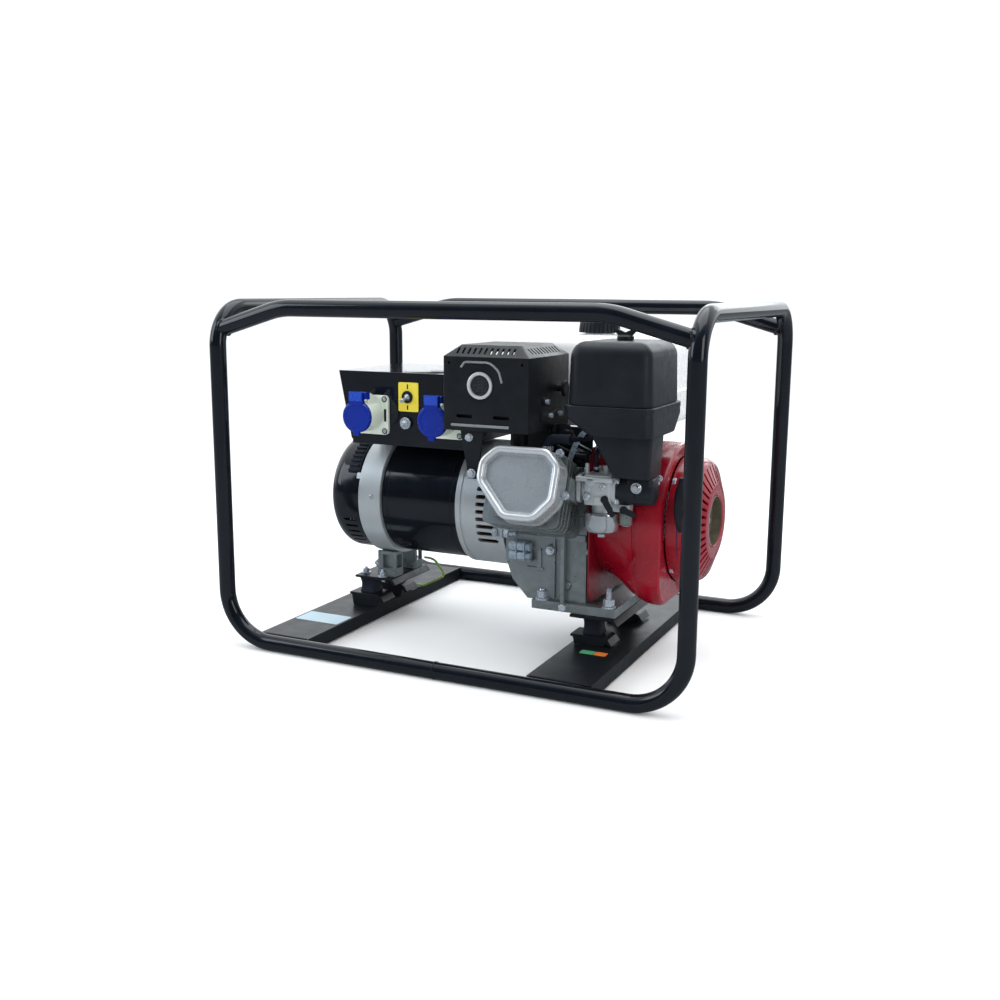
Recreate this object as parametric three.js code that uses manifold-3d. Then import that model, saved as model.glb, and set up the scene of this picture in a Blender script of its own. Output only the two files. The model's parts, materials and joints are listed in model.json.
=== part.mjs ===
// A portable petrol generator in an open tube frame.
// Millimetres, +Z up, origin at the bottom centre of the frame. +X points to the starter end of the engine
// and -Y to the side that carries the sockets, the muffler and the air cleaner.
import * as THREE from 'three';
import { mergeVertices } from 'three/addons/utils/BufferGeometryUtils.js';
import Module from 'manifold-3d';

const wasm = await Module();
wasm.setup();

// ---------------------------------------------------------------- driving dimensions
const GAP = 0.3;                    // air left between pieces that touch

const TUBE_R = 12.7;                // frame tube, measured to the flats
const POST_X = 381.5;               // post centres
const POST_Y = 270;
const HOOP_TOP = 541;               // centre height of the end cross tubes
const BOTTOM_BEND = 80;             // centreline radii
const TOP_BEND = 60;
const RAIL_BREAK_X = 262;           // where the top rails start to drop
const RAIL_END_Z = 507;

const CHANNEL_TOP = 25;
const CHANNEL_WALL = 3.5;
const CHANNEL_LEFT = [-323, -233];
const CHANNEL_RIGHT = [145, 245];

const AXIS_Z = 222;                 // crankshaft and alternator axis, over y = 0
const BARREL_R = 98;
const RING_R = 104;

const LEFT_MOUNT = { x: -252, y: 40, foot: 48, top: 75.7 };
const RIGHT_MOUNT = { x: 178, y: 75, foot: 41, top: 72.7 };

const BASE_Z = 78;                  // underside of the engine feet
const CASE_X = [34, 170];           // crankcase walls
const CYLINDER_X = 106;
const CYLINDER_Z = 212;
const CYLINDER_TILT = 22;           // degrees above horizontal

const SHROUD_R = 118;
const SHROUD_X = [178, 292];
const RECOIL_R = 98;
const RECOIL_X = [294, 345];

const BOX_LEFT = [-230, -252];      // the left wall leans out, from the floor to the top
const BOX_RIGHT = -21.5;
const BOX_FLOOR = 330;
const BOX_TOP = 440;
const BOX_BACK = 70;
const BOX_WALL = 2;
const FACE_Y = -130;                // front of the control box
const SOCKET_X = [-190, -55];
const LID_Z = 371.5;                // height of the socket centres
const LID_Y = -171;                 // back face of the lids
const LID_R = 25.5;
const HINGE = [-168.5, 404.5];      // y and z of the lid hinges
const TOGGLE = [-123, 402];         // x and z of the switch

const RAD = Math.PI / 180;

// ---------------------------------------------------------------- colours
const paint = (color, roughness, metalness) => new THREE.MeshStandardMaterial({ color, roughness, metalness });
const BLACK_PAINT = paint(0x14161a, 0.3, 0.2);
const STEEL_BLACK = paint(0x1b1d20, 0.4, 0.3);
const RUBBER = paint(0x23262c, 0.8, 0);
const ALUMINIUM = paint(0x9aa0a3, 0.5, 0.8);
const STEEL = paint(0xb8babb, 0.35, 0.9);
const COPPER = paint(0x9a5a30, 0.5, 0.6);
const RED = paint(0xb01222, 0.3, 0.1);
const WHITE = paint(0xe6e7e8, 0.3, 0.1);
const CHARCOAL = paint(0x24272b, 0.5, 0);
const BLUE = paint(0x123a9c, 0.35, 0);
const SOCKET_GREY = paint(0xb9c3b4, 0.5, 0);
const YELLOW = paint(0xe8c414, 0.5, 0);
const FOAM = paint(0x55504a, 0.95, 0);

// ---------------------------------------------------------------- geometry helpers
function solid(geometry) {
  const bare = (geometry.index ? geometry.toNonIndexed() : geometry).clone();
  bare.deleteAttribute('normal');
  bare.deleteAttribute('uv');
  const merged = mergeVertices(bare, 1e-4);
  return new wasm.Manifold(new wasm.Mesh({
    numProp: 3,
    vertProperties: new Float32Array(merged.attributes.position.array),
    triVerts: new Uint32Array(merged.index.array),
  }));
}

function geometryOf(manifold) {
  const mesh = manifold.getMesh();
  const geometry = new THREE.BufferGeometry();
  geometry.setAttribute('position', new THREE.BufferAttribute(mesh.vertProperties, 3));
  geometry.setIndex(new THREE.BufferAttribute(mesh.triVerts, 1));
  geometry.computeVertexNormals();
  return geometry;
}

const joined = (...pieces) => geometryOf(pieces.map(solid).reduce((sum, piece) => sum.add(piece)));
const cut = (from, ...tools) =>
  geometryOf(tools.map(solid).reduce((rest, tool) => rest.subtract(tool), solid(from)));

function box(x, y, z) {
  const geometry = new THREE.BoxGeometry(x[1] - x[0], y[1] - y[0], z[1] - z[0]);
  return geometry.translate((x[0] + x[1]) / 2, (y[0] + y[1]) / 2, (z[0] + z[1]) / 2);
}

const cylinderX = (r, x, y, z, sides = 24, r2 = r) =>
  new THREE.CylinderGeometry(r2, r, x[1] - x[0], sides).rotateZ(-Math.PI / 2).translate((x[0] + x[1]) / 2, y, z);
const cylinderY = (r, y, x, z, sides = 24) =>
  new THREE.CylinderGeometry(r, r, y[1] - y[0], sides).translate(x, (y[0] + y[1]) / 2, z);
const cylinderZ = (r, z, x = 0, y = 0, sides = 24, r2 = r) =>
  new THREE.CylinderGeometry(r2, r, z[1] - z[0], sides).rotateX(Math.PI / 2).translate(x, y, (z[0] + z[1]) / 2);

// A profile of [x, radius] points turned about the crankshaft axis. A ring's profile closes on itself.
function turned(profile, sides = 24) {
  const ring = profile[0][1] > 0;
  const points = (ring ? [...profile, profile[0]] : profile).map(([x, r]) => new THREE.Vector2(r, x));
  const area = THREE.ShapeUtils.area(points);
  const lathe = new THREE.LatheGeometry(area > 0 ? points : points.reverse(), sides);
  return lathe.rotateZ(-Math.PI / 2).translate(0, 0, AXIS_Z);
}

function outline(points) {
  return new THREE.Shape(points.map(([a, b]) => new THREE.Vector2(a, b)));
}

function roundedRectangle(a, b, radius) {
  const shape = new THREE.Shape();
  const [a0, a1] = a;
  const [b0, b1] = b;
  shape.moveTo(a0 + radius, b0);
  shape.lineTo(a1 - radius, b0);
  shape.absarc(a1 - radius, b0 + radius, radius, -Math.PI / 2, 0);
  shape.absarc(a1 - radius, b1 - radius, radius, 0, Math.PI / 2);
  shape.absarc(a0 + radius, b1 - radius, radius, Math.PI / 2, Math.PI);
  shape.absarc(a0 + radius, b0 + radius, radius, Math.PI, 1.5 * Math.PI);
  return shape;
}

function prism(shape, depth, bevel = 0, curveSegments = 4) {
  return new THREE.ExtrudeGeometry(shape, {
    depth: depth - 2 * bevel,
    curveSegments,
    bevelEnabled: bevel > 0,
    bevelThickness: bevel,
    bevelSize: bevel,
    bevelOffset: -bevel,
    bevelSegments: 1,
  }).translate(0, 0, bevel);
}

// Outlines drawn in X and Z and pushed along Y, in Y and Z along X, or in X and Y along Z.
const alongY = (shape, y, bevel, segments) =>
  prism(shape, y[1] - y[0], bevel, segments).rotateX(Math.PI / 2).translate(0, y[1], 0);
const alongX = (shape, x, bevel, segments) =>
  prism(shape, x[1] - x[0], bevel, segments).rotateZ(Math.PI / 2).rotateY(Math.PI / 2).translate(x[0], 0, 0);
const alongZ = (shape, z, bevel, segments) => prism(shape, z[1] - z[0], bevel, segments).translate(0, 0, z[0]);

// A polyline with rounded corners, sampled only where it bends.
class BentPath extends THREE.Curve {
  constructor(corners, radii, degreesPerStep = 18) {
    super();
    const nodes = corners.map((corner) => new THREE.Vector3(...corner));
    this.points = [nodes[0]];
    for (let i = 1; i < nodes.length - 1; i++) {
      const back = nodes[i - 1].clone().sub(nodes[i]).normalize();
      const ahead = nodes[i + 1].clone().sub(nodes[i]).normalize();
      const turn = Math.PI - back.angleTo(ahead);
      const reach = radii[i - 1] * Math.tan(turn / 2);
      const centre = back.clone().add(ahead).normalize();
      centre.multiplyScalar(radii[i - 1] / Math.cos(turn / 2)).add(nodes[i]);
      const from = back.clone().multiplyScalar(reach).add(nodes[i]).sub(centre);
      const axis = ahead.clone().cross(back).normalize();
      const steps = Math.max(2, Math.round(turn / RAD / degreesPerStep));
      for (let k = 0; k <= steps; k++) {
        this.points.push(from.clone().applyAxisAngle(axis, turn * k / steps).add(centre));
      }
    }
    this.points.push(nodes[nodes.length - 1]);
  }

  get steps() {
    return this.points.length - 1;
  }

  getPoint(t, target = new THREE.Vector3()) {
    const place = Math.min(t * this.steps, this.steps - 1e-9);
    const i = Math.floor(place);
    return target.copy(this.points[i]).lerp(this.points[i + 1], place - i);
  }

  getPointAt(t, target) {
    return this.getPoint(t, target);
  }

  getTangentAt(t, target = new THREE.Vector3()) {
    const i = Math.round(t * this.steps);
    const before = this.points[Math.max(i - 1, 0)];
    const here = this.points[i];
    const after = this.points[Math.min(i + 1, this.steps)];
    target.set(0, 0, 0);
    if (i > 0) target.add(here.clone().sub(before).normalize());
    if (i < this.steps) target.add(after.clone().sub(here).normalize());
    return target.normalize();
  }
}

// A round bar swept along a path. The radius is measured to the flats of its section.
function tube(path, radius, sides = 12) {
  const corner = radius / Math.cos(Math.PI / sides);
  const section = [];
  for (let i = 0; i < sides; i++) {
    const angle = (i + 0.5) * 2 * Math.PI / sides;
    section.push(new THREE.Vector2(corner * Math.cos(angle), corner * Math.sin(angle)));
  }
  return new THREE.ExtrudeGeometry(new THREE.Shape(section), { steps: path.steps, extrudePath: path });
}

// ---------------------------------------------------------------- the assembly
const generator = new THREE.Group();

function add(name, geometry, material, parent = generator) {
  const mesh = new THREE.Mesh(geometry, material);
  mesh.name = name;
  parent.add(mesh);
  return mesh;
}

// ---------------------------------------------------------------- frame
function hoopPath(side) {
  const x = side * POST_X;
  const start = side * GAP / 2;
  const corners = [
    [start, -POST_Y, TUBE_R],
    [x, -POST_Y, TUBE_R],
    [x, -POST_Y, HOOP_TOP],
    [x, POST_Y, HOOP_TOP],
    [x, POST_Y, TUBE_R],
    [start, POST_Y, TUBE_R],
  ];
  return new BentPath(corners, [BOTTOM_BEND, TOP_BEND, TOP_BEND, BOTTOM_BEND]);
}

const hoopClearance = [-1, 1].map((side) => tube(hoopPath(side), TUBE_R + GAP));

function topRail(side) {
  const y = side * POST_Y;
  const endY = side * (POST_Y - 6.4);
  const corners = [
    [-POST_X, endY, RAIL_END_Z],
    [-RAIL_BREAK_X, y, HOOP_TOP],
    [RAIL_BREAK_X, y, HOOP_TOP],
    [POST_X, endY, RAIL_END_Z],
  ];
  return cut(tube(new BentPath(corners, [150, 150], 5.5), TUBE_R), ...hoopClearance);
}

function baseChannel([x0, x1]) {
  const low = 3;
  const inner = CHANNEL_TOP - CHANNEL_WALL;
  const section = outline([
    [x0, low],
    [x0 + CHANNEL_WALL, low],
    [x0 + CHANNEL_WALL, inner],
    [x1 - CHANNEL_WALL, inner],
    [x1 - CHANNEL_WALL, low],
    [x1, low],
    [x1, CHANNEL_TOP],
    [x0, CHANNEL_TOP],
  ]);
  return cut(alongY(section, [-262, 262]), ...hoopClearance);
}

add('frame_hoop_left', tube(hoopPath(-1), TUBE_R), BLACK_PAINT);
add('frame_hoop_right', tube(hoopPath(1), TUBE_R), BLACK_PAINT);
add('top_rail_near', topRail(-1), BLACK_PAINT);
add('top_rail_far', topRail(1), BLACK_PAINT);
add('base_channel_left', baseChannel(CHANNEL_LEFT), BLACK_PAINT);
add('base_channel_right', baseChannel(CHANNEL_RIGHT), BLACK_PAINT);

// ---------------------------------------------------------------- rubber mounts and cross brackets
const MOUNT_DEPTH = 34;

function mountFoot(mount) {
  const top = mount.foot;
  const section = outline([
    [-26, CHANNEL_TOP + GAP],
    [22, CHANNEL_TOP + GAP],
    [26, top - 9],
    [33, top - 14],
    [36, top - 12],
    [29, top - 2.5],
    [22, top],
    [-33, top],
    [-33, top - 4],
    [-29, top - 4],
  ]);
  return alongY(section, [-MOUNT_DEPTH / 2 - 3, MOUNT_DEPTH / 2 + 3]);
}

function mountPair(mount, end) {
  for (const [side, sign] of [['near', -1], ['far', 1]]) {
    const place = new THREE.Group();
    place.position.set(mount.x, sign * mount.y, 0);
    generator.add(place);
    add(`mount_foot_${side}_${end}`, mountFoot(mount), STEEL_BLACK, place);
    const rubber = roundedRectangle([-16, 16], [-MOUNT_DEPTH / 2, MOUNT_DEPTH / 2], 4);
    add(`mount_rubber_${side}_${end}`, alongZ(rubber, [mount.foot + GAP, mount.top], 0, 1), RUBBER, place);
  }
}

function crossBracket(x0, x1, z, thickness, halfLength) {
  const section = outline([
    [x0, z],
    [x1 - 2, z],
    [x1 + 5, z - 8],
    [x1 + 9, z - 6],
    [x1 + 2, z + thickness - 1],
    [x1 - 4, z + thickness],
    [x0, z + thickness],
  ]);
  return alongY(section, [-halfLength, halfLength]);
}

mountPair(LEFT_MOUNT, 'left');
mountPair(RIGHT_MOUNT, 'right');
add('alternator_bracket', crossBracket(-272, -200, LEFT_MOUNT.top + GAP, 4.2, 62), STEEL_BLACK);
add('engine_bracket', crossBracket(150, 220, RIGHT_MOUNT.top + GAP, 4.7, 112), STEEL_BLACK);

// ---------------------------------------------------------------- alternator
const COVER_X = [-303, -237.3];
const RING_X = [-237, -195];
const STATOR_X = [-194.7, -55.3];
const SHIELD_X = [-55, 30];
const STATOR_BORE = 63;
const FOOT_TOP = LEFT_MOUNT.top + GAP + 4.2;

function endCover() {
  const r = BARREL_R + 1;
  const [x0, x1] = COVER_X;
  const shell = turned([
    [x0, 0], [x0, r - 24], [x0 + 3.5, r - 12], [x0 + 12, r - 4], [x0 + 26, r], [x1, r], [x1, r - 2.5],
    [x0 + 26, r - 2.5], [x0 + 13, r - 6.5], [x0 + 5.5, r - 13.5], [x0 + 2.5, r - 24], [x0 + 2.5, 0],
  ]);
  const vents = [];
  for (let i = -1; i <= 1; i++) {
    for (const angle of [-150, -30]) {
      const slot = box([x0 + 26, x0 + 52], [r - 8, r + 4], [-2.5, 2.5]).rotateX((angle + i * 7) * RAD);
      vents.push(slot.translate(0, 0, AXIS_Z));
    }
  }
  return cut(shell, ...vents);
}

function rearRing() {
  const [x0, x1] = RING_X;
  const ring = turned([
    [x0, RING_R], [x1, RING_R], [x1, RING_R - 12], [x0 + 22, RING_R - 12], [x0 + 22, 26], [x0 + 26, 26],
    [x0 + 26, 12.3], [x0 + 14, 12.3], [x0 + 14, RING_R - 12], [x0, RING_R - 12],
  ]);
  const pieces = [ring];
  for (const side of [-1, 1]) {
    const [inner, outer] = [side * 22, side * 46].sort((a, b) => a - b);
    pieces.push(box([x0 + 6, x1 - 4], [inner, outer], [FOOT_TOP + 10, AXIS_Z - 84]));
    pieces.push(box([x0 + 2, x1 - 4], [inner - 4, outer + 4], [FOOT_TOP + GAP, FOOT_TOP + 12]));
    pieces.push(box([x0 + 10, x1 - 10], [side * 34 - 8, side * 34 + 8], [AXIS_Z + 90, BOX_FLOOR - GAP]));
  }
  return cut(joined(...pieces), cylinderX(RING_R - 14, [x0 - 1, x0 + 13.5], 0, AXIS_Z, 24));
}

function driveEndShield() {
  const [x0, x1] = SHIELD_X;
  const r = RING_R - 1;
  const shell = turned([
    [x0, r], [x1 - 8, r], [x1 - 8, r + 3], [x1, r + 3], [x1, 44], [x1 - 8, 44], [x1 - 8, r - 8], [x0, r - 8],
  ]);
  const slots = [];
  for (const side of [-1, 1]) {
    for (let i = -4; i <= 4; i++) {
      const y = [side * 110, side * 45].sort((a, b) => a - b);
      slots.push(box([-18, 18], y, [AXIS_Z + i * 12 - 3.2, AXIS_Z + i * 12 + 3.2]));
    }
  }
  return cut(shell, ...slots);
}

function rotor() {
  return turned([
    [-222, 0], [-222, 12], [-176, 12], [-176, 61], [-74, 61], [-74, 24], [-52, 24], [-52, 84], [-46, 84], [-46, 24],
    [-20, 24], [-20, 18], [8, 18], [8, 0],
  ], 16);
}

add('alternator_end_cover', endCover(), STEEL_BLACK);
add('alternator_rear_ring', rearRing(), ALUMINIUM);
add('stator_barrel', turned([
  [STATOR_X[0], STATOR_BORE + 22], [STATOR_X[0], BARREL_R],
  [STATOR_X[1], BARREL_R], [STATOR_X[1], STATOR_BORE + 22],
  [-76, STATOR_BORE + 22], [-76, STATOR_BORE], [-174, STATOR_BORE], [-174, STATOR_BORE + 22],
]), BLACK_PAINT);
add('drive_end_shield', driveEndShield(), ALUMINIUM);
add('rotor', rotor(), COPPER);

// ---------------------------------------------------------------- engine
const FLANGE_TOP = BASE_Z + 14;
const CASE_TOP = 300;
const CASE_HALF = 96;
const BORE_R = 44;
const HEAD_JOINT = 150;             // distance of the head gasket from the crankshaft, along the cylinder

const cylinderFrame = new THREE.Group();
cylinderFrame.position.set(CYLINDER_X, 0, CYLINDER_Z);
cylinderFrame.rotation.x = (90 - CYLINDER_TILT) * RAD;
generator.add(cylinderFrame);

// Turns a piece drawn along the cylinder axis into the engine's frame.
const onCylinder = (geometry) => geometry.rotateX((90 - CYLINDER_TILT) * RAD).translate(CYLINDER_X, 0, CYLINDER_Z);

function crankcase() {
  const wall = 6;
  const [x0, x1] = CASE_X;
  const section = outline([
    [x0 + 38, FLANGE_TOP - 2], [x1, FLANGE_TOP - 2], [x1, CASE_TOP], [x0, CASE_TOP], [x0, 150], [x0 + 12, 118],
  ]);
  const hollow = outline([
    [x0 + 40, FLANGE_TOP + 6], [x1 - wall, FLANGE_TOP + 6],
    [x1 - wall, CASE_TOP - wall], [x0 + wall, CASE_TOP - wall], [x0 + wall, 152],
  ]);
  const pieces = [
    alongY(section, [-CASE_HALF, CASE_HALF]),
    box([84, 222], [-107, 107], [BASE_Z, FLANGE_TOP]),
  ];
  for (const side of [-1, 1]) {
    pieces.push(cylinderX(8, [x0, x1], side * 92, CASE_TOP - 8, 10));
    pieces.push(box([132, 138], [side * 101 - 6, side * 101 + 6], [FLANGE_TOP - 2, 200]));
  }
  pieces.push(box([36, 56], [60, 90], [CASE_TOP - 4, 355.7]));
  pieces.push(box([140, 160], [60, 90], [CASE_TOP - 4, 355.7]));
  pieces.push(onCylinder(alongZ(roundedRectangle([-58, 52], [-54, 46], 12), [60, HEAD_JOINT], 0, 2)));
  const grooves = [];
  for (let i = 0; i < 3; i++) {
    const z = 110 + i * 13;
    const fin = alongZ(roundedRectangle([-70, 70], [-66, 66], 12), [z, z + 7], 0, 1);
    const core = alongZ(roundedRectangle([-50, 49], [-49, 43], 14), [z - 1, z + 8], 0, 1);
    grooves.push(onCylinder(cut(fin, core)));
  }
  return cut(
    joined(...pieces),
    ...grooves,
    alongY(hollow, [-CASE_HALF + wall, CASE_HALF - wall]),
    onCylinder(cylinderZ(BORE_R, [50, HEAD_JOINT + 1], 0, -4, 20)),
    cylinderX(32, [x0 - 1, x0 + wall + 1], 0, AXIS_Z, 16),
    cylinderX(20, [x1 - wall - 1, x1 + 1], 0, AXIS_Z, 16),
  );
}

function crankshaft() {
  const pinThrow = 32;
  const shaft = [
    cylinderX(17, [9, 78], 0, AXIS_Z, 12),
    cylinderX(17, [126, 185], 0, AXIS_Z, 12),
    cylinderX(12, [184, 289], 0, AXIS_Z, 12),
    cylinderX(16, [76, 128], 0, AXIS_Z + pinThrow, 12),
  ];
  for (const x of [72, 120]) {
    const web = roundedRectangle([-24, 24], [AXIS_Z - 56, AXIS_Z + 54], 20);
    shaft.push(alongX(web, [x, x + 12], 0, 1));
  }
  return joined(...shaft);
}

function flywheel() {
  return turned([
    [186, 12.3], [186, 32], [198, 32], [198, 60], [206, 60], [206, 92], [236, 92], [236, 66], [243, 60], [243, 42],
    [262, 42], [262, 12.3],
  ], 20);
}

function cylinderHead() {
  const core = alongZ(roundedRectangle([-52, 50], [-50, 42], 12), [HEAD_JOINT + GAP, 205], 0, 2);
  const pieces = [core];
  for (let i = 0; i < 4; i++) {
    const z = HEAD_JOINT + GAP + i * 13;
    pieces.push(alongZ(roundedRectangle([-64, 58], [-60, 52], 10), [z, z + 5], 0, 1));
  }
  pieces.push(box([34, 70], [-14, 18], [HEAD_JOINT + 8, 200]));
  pieces.push(box([-48, -14], [30, 58], [HEAD_JOINT + 4, 196]));
  return joined(...pieces);
}

function rockerCover() {
  const rim = alongZ(outline([
    [-16, -60], [37, -60], [66, -27], [66, 28], [42, 52], [-42, 52], [-66, 28], [-66, -6],
  ]), [205.3, 211]);
  const dome = alongZ(outline([
    [-12, -53], [33.5, -53], [58.5, -24], [58.5, 24], [38, 45], [-39, 45], [-58.5, 25], [-58.5, -4],
  ]), [206, 238], 5);
  return joined(rim, dome);
}

// The plug leans out of the top of the head. Its moulded cap turns the lead towards the fan shroud.
function plugLead() {
  const cap = tube(new BentPath([[127, -151, 334], [127, -151, 354], [163, -151, 354]], [12], 30), 8, 8);
  const route = [[161, -151, 354], [172, -120, 352], [171, -30, 346], [160, -12, 340], [160, -12, CASE_TOP + GAP]];
  return joined(cap, tube(new BentPath(route, [20, 30, 12], 30), 3.5, 8));
}

add('crankcase', crankcase(), ALUMINIUM);
add('crankshaft', crankshaft(), STEEL);
add('flywheel', flywheel(), STEEL);
add('piston', cylinderZ(BORE_R - 2 * GAP, [92, 138], 0, -4, 20), STEEL, cylinderFrame);
add('cylinder_head', cylinderHead(), ALUMINIUM, cylinderFrame);
add('rocker_cover', rockerCover(), WHITE, cylinderFrame);
add('spark_plug_lead', plugLead(), RUBBER);
add('oil_filler_cap', joined(
  cylinderY(13, [CASE_HALF + GAP, 104], 155, 130, 12),
  cylinderY(9, [103, 116], 155, 130, 6),
), STEEL_BLACK);
add('oil_drain_bolt', cylinderY(6.5, [-115, -107.3], 138, 86, 6), STEEL);

// ---------------------------------------------------------------- fan shroud and recoil starter
const PULLEY_R = 42;
const GRIP_X = 322;
const ROPE_Z = AXIS_Z + PULLEY_R;

// The lower half of the shroud is squared off, with two large rounded corners.
function skirtOutline(inset) {
  const [half, low, high, r] = [116, 100, 205, 45];
  const shape = new THREE.Shape();
  shape.moveTo(-half + inset, high);
  shape.lineTo(-half + inset, low + r);
  shape.absarc(-half + r, low + r, r - inset, Math.PI, 1.5 * Math.PI);
  shape.lineTo(half - r, low + inset);
  shape.absarc(half - r, low + r, r - inset, 1.5 * Math.PI, 2 * Math.PI);
  shape.lineTo(half - inset, high);
  return shape;
}

function fanShroud() {
  const [x0, x1] = SHROUD_X;
  const r = SHROUD_R;
  const skin = 3;
  const skirtX = x0 + 24;
  const outer = joined(
    turned([[x0, 0], [x0, r - 22], [x0 + 30, r - 11], [x0 + 62, r], [x1 - 5, r], [x1, r - 5], [x1, 0]], 28),
    alongX(skirtOutline(0), [skirtX, x1], 3, 5),
  );
  const inner = joined(
    turned([
      [x0 - 1, 0], [x0 - 1, r - 25], [x0 + 3, r - 25], [x0 + 31, r - 14], [x0 + 62, r - skin], [x1 - 6, r - skin],
      [x1 - skin, r - 7], [x1 - skin, r - 19], [x1 + 1, r - 19], [x1 + 1, 0],
    ], 28),
    alongX(skirtOutline(skin), [skirtX + skin, x1 - skin], 0, 5),
  );
  const plate = alongX(roundedRectangle([-112, 112], [FLANGE_TOP + 4, 338], 24), [x0, x0 + skin], 0, 2);
  return joined(cut(outer, inner), cut(plate, cylinderX(r - 24, [x0 - 1, x0 + 4], 0, AXIS_Z, 28)));
}

function recoilHousing() {
  const [x0, x1] = RECOIL_X;
  const r = RECOIL_R;
  const shell = turned([
    [x1 - 18, 0], [x1 - 18, 35], [x1, 37], [x1, 56], [x1 - 9, 76], [x1 - 19, 90], [x0 + 18, r], [x0, r],
    [x0, r - 4], [x0 + 18, r - 4], [x1 - 20.5, 87], [x1 - 12, 74], [x1 - 3, 55], [x1 - 3, 40], [x1 - 21, 38],
    [x1 - 21, 0],
  ], 24);
  const boss = cylinderY(9, [-92, -74], GRIP_X, ROPE_Z, 12);
  const pin = cylinderX(8, [x0 + 4, x1 - 19], 0, AXIS_Z, 12);
  const slots = [];
  for (let i = 0; i < 8; i++) {
    const slot = box([x1 - 30, x1 + 1], [48, 82], [-4, 4]).rotateX((i + 0.5) * 45 * RAD);
    slots.push(slot.translate(0, 0, AXIS_Z));
  }
  return cut(joined(shell, boss, pin), ...slots, cylinderY(3, [-93, -60], GRIP_X, ROPE_Z, 8));
}

function starterPulley() {
  const r = PULLEY_R;
  const x = RECOIL_X[0] + 6;
  return turned([
    [x, 8.3], [x, r + 4], [x + 4, r + 4], [x + 7, r - 4], [x + 11, r - 4], [x + 14, r + 4], [x + 18, r + 4],
    [x + 18, 8.3],
  ], 20);
}

function starterGrip() {
  const bar = roundedRectangle([GRIP_X - 11, GRIP_X + 11], [ROPE_Z - 40, ROPE_Z + 40], 9);
  return joined(alongY(bar, [-122, -102], 4, 2), cylinderY(9, [-103, -92 - GAP], GRIP_X, ROPE_Z, 12));
}

add('fan_shroud', fanShroud(), RED);
add('recoil_housing', recoilHousing(), RED);
add('starter_pulley', starterPulley(), CHARCOAL);
add('starter_grip', starterGrip(), CHARCOAL);

// ---------------------------------------------------------------- fuel tank
const TANK_X = [-14, 256];
const TANK_Y = [-20, 188];
const TANK_Z = [356, 500];
const CAP_XY = [120, 75];

function fuelTank() {
  const [x, y, z] = [TANK_X, TANK_Y, TANK_Z];
  const wall = 2;
  const body = alongZ(roundedRectangle(x, y, 40), z, 16, 2);
  const seam = alongZ(roundedRectangle([x[0] - 6, x[1] + 6], [y[0] - 6, y[1] + 6], 44), [410, 414], 0, 2);
  const neck = cylinderZ(24, [z[1] - 4, z[1] + 12], ...CAP_XY, 16);
  const room = roundedRectangle([x[0] + wall, x[1] - wall], [y[0] + wall, y[1] - wall], 38);
  const hollow = alongZ(room, [z[0] + wall, z[1] - wall], 14, 1);
  return cut(joined(body, seam, neck), hollow, cylinderZ(20, [z[1] - 6, z[1] + 13], ...CAP_XY, 16));
}

add('fuel_tank', fuelTank(), WHITE);
add('fuel_cap', cut(
  cylinderZ(34, [TANK_Z[1] + 2, TANK_Z[1] + 24], ...CAP_XY, 20, 31),
  cylinderZ(24.6, [TANK_Z[1] + 1, TANK_Z[1] + 14], ...CAP_XY, 16),
), CHARCOAL);
add('fuel_hose', tube(new BentPath([
  [190, 8, TANK_Z[0] - GAP], [190, 8, 338], [196, -130, 338], [196, -130, 306 + GAP],
], [12, 12], 22.5), 3.5, 8), RUBBER);

// ---------------------------------------------------------------- carburettor
const CARB_Y = -140;
const CARB_Z = 284;

add('carburettor', joined(
  cylinderX(21, [177, 190], CARB_Y, CARB_Z, 14),
  box([188, 230], [CARB_Y - 22, CARB_Y + 22], [262, 306]),
  cylinderX(20, [228, 236], CARB_Y, CARB_Z, 16),
  cylinderZ(15, [248.3, 263], 208, -134, 16),
  box([226, 254], [-146, -128], [252, 263]),
  cylinderZ(8.5, [232, 253], 246, -137, 12),
), ALUMINIUM);
add('float_bowl', joined(
  cylinderZ(26, [226, 248], 208, -135, 24),
  cylinderZ(20, [218, 227], 208, -135, 24, 26),
  cylinderZ(6, [210, 219], 208, -135, 6),
), ALUMINIUM);
add('intake_elbow', joined(
  cylinderX(20, [236.3, 292], CARB_Y, CARB_Z, 20),
  box([250, 290], [CARB_Y - 18, CARB_Y + 18], [CARB_Z, 306]),
), CHARCOAL);
add('throttle_lever', joined(
  cylinderX(7, [181.4, 184.6], -92, 322, 12),
  box([181.8, 184.2], [-96, -88], [322, 360]),
), STEEL);

// A flat lever that turns about an axis along Y, drawn from its pivot towards an angle below the X axis.
function yLever(x, y, z, length, angle) {
  const arm = box([0, length], [y[0], y[1]], [-4, 4]).rotateY(angle * RAD).translate(x, 0, z);
  return joined(cylinderY(6, y, x, z, 12), arm);
}

add('choke_lever', yLever(222, [-166, CARB_Y - 22 - GAP], 272, 30, 60), CHARCOAL);
add('fuel_valve_lever', yLever(246, [-150, -146 - GAP], 256, 22, 20), CHARCOAL);

// ---------------------------------------------------------------- air cleaner
const AIR_X = [163, 297];
const AIR_Y = [-192, -34];
const AIR_FLOOR = 366;
const AIR_JOINT = 409;
const AIR_CENTRE = [230, -113];

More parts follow.
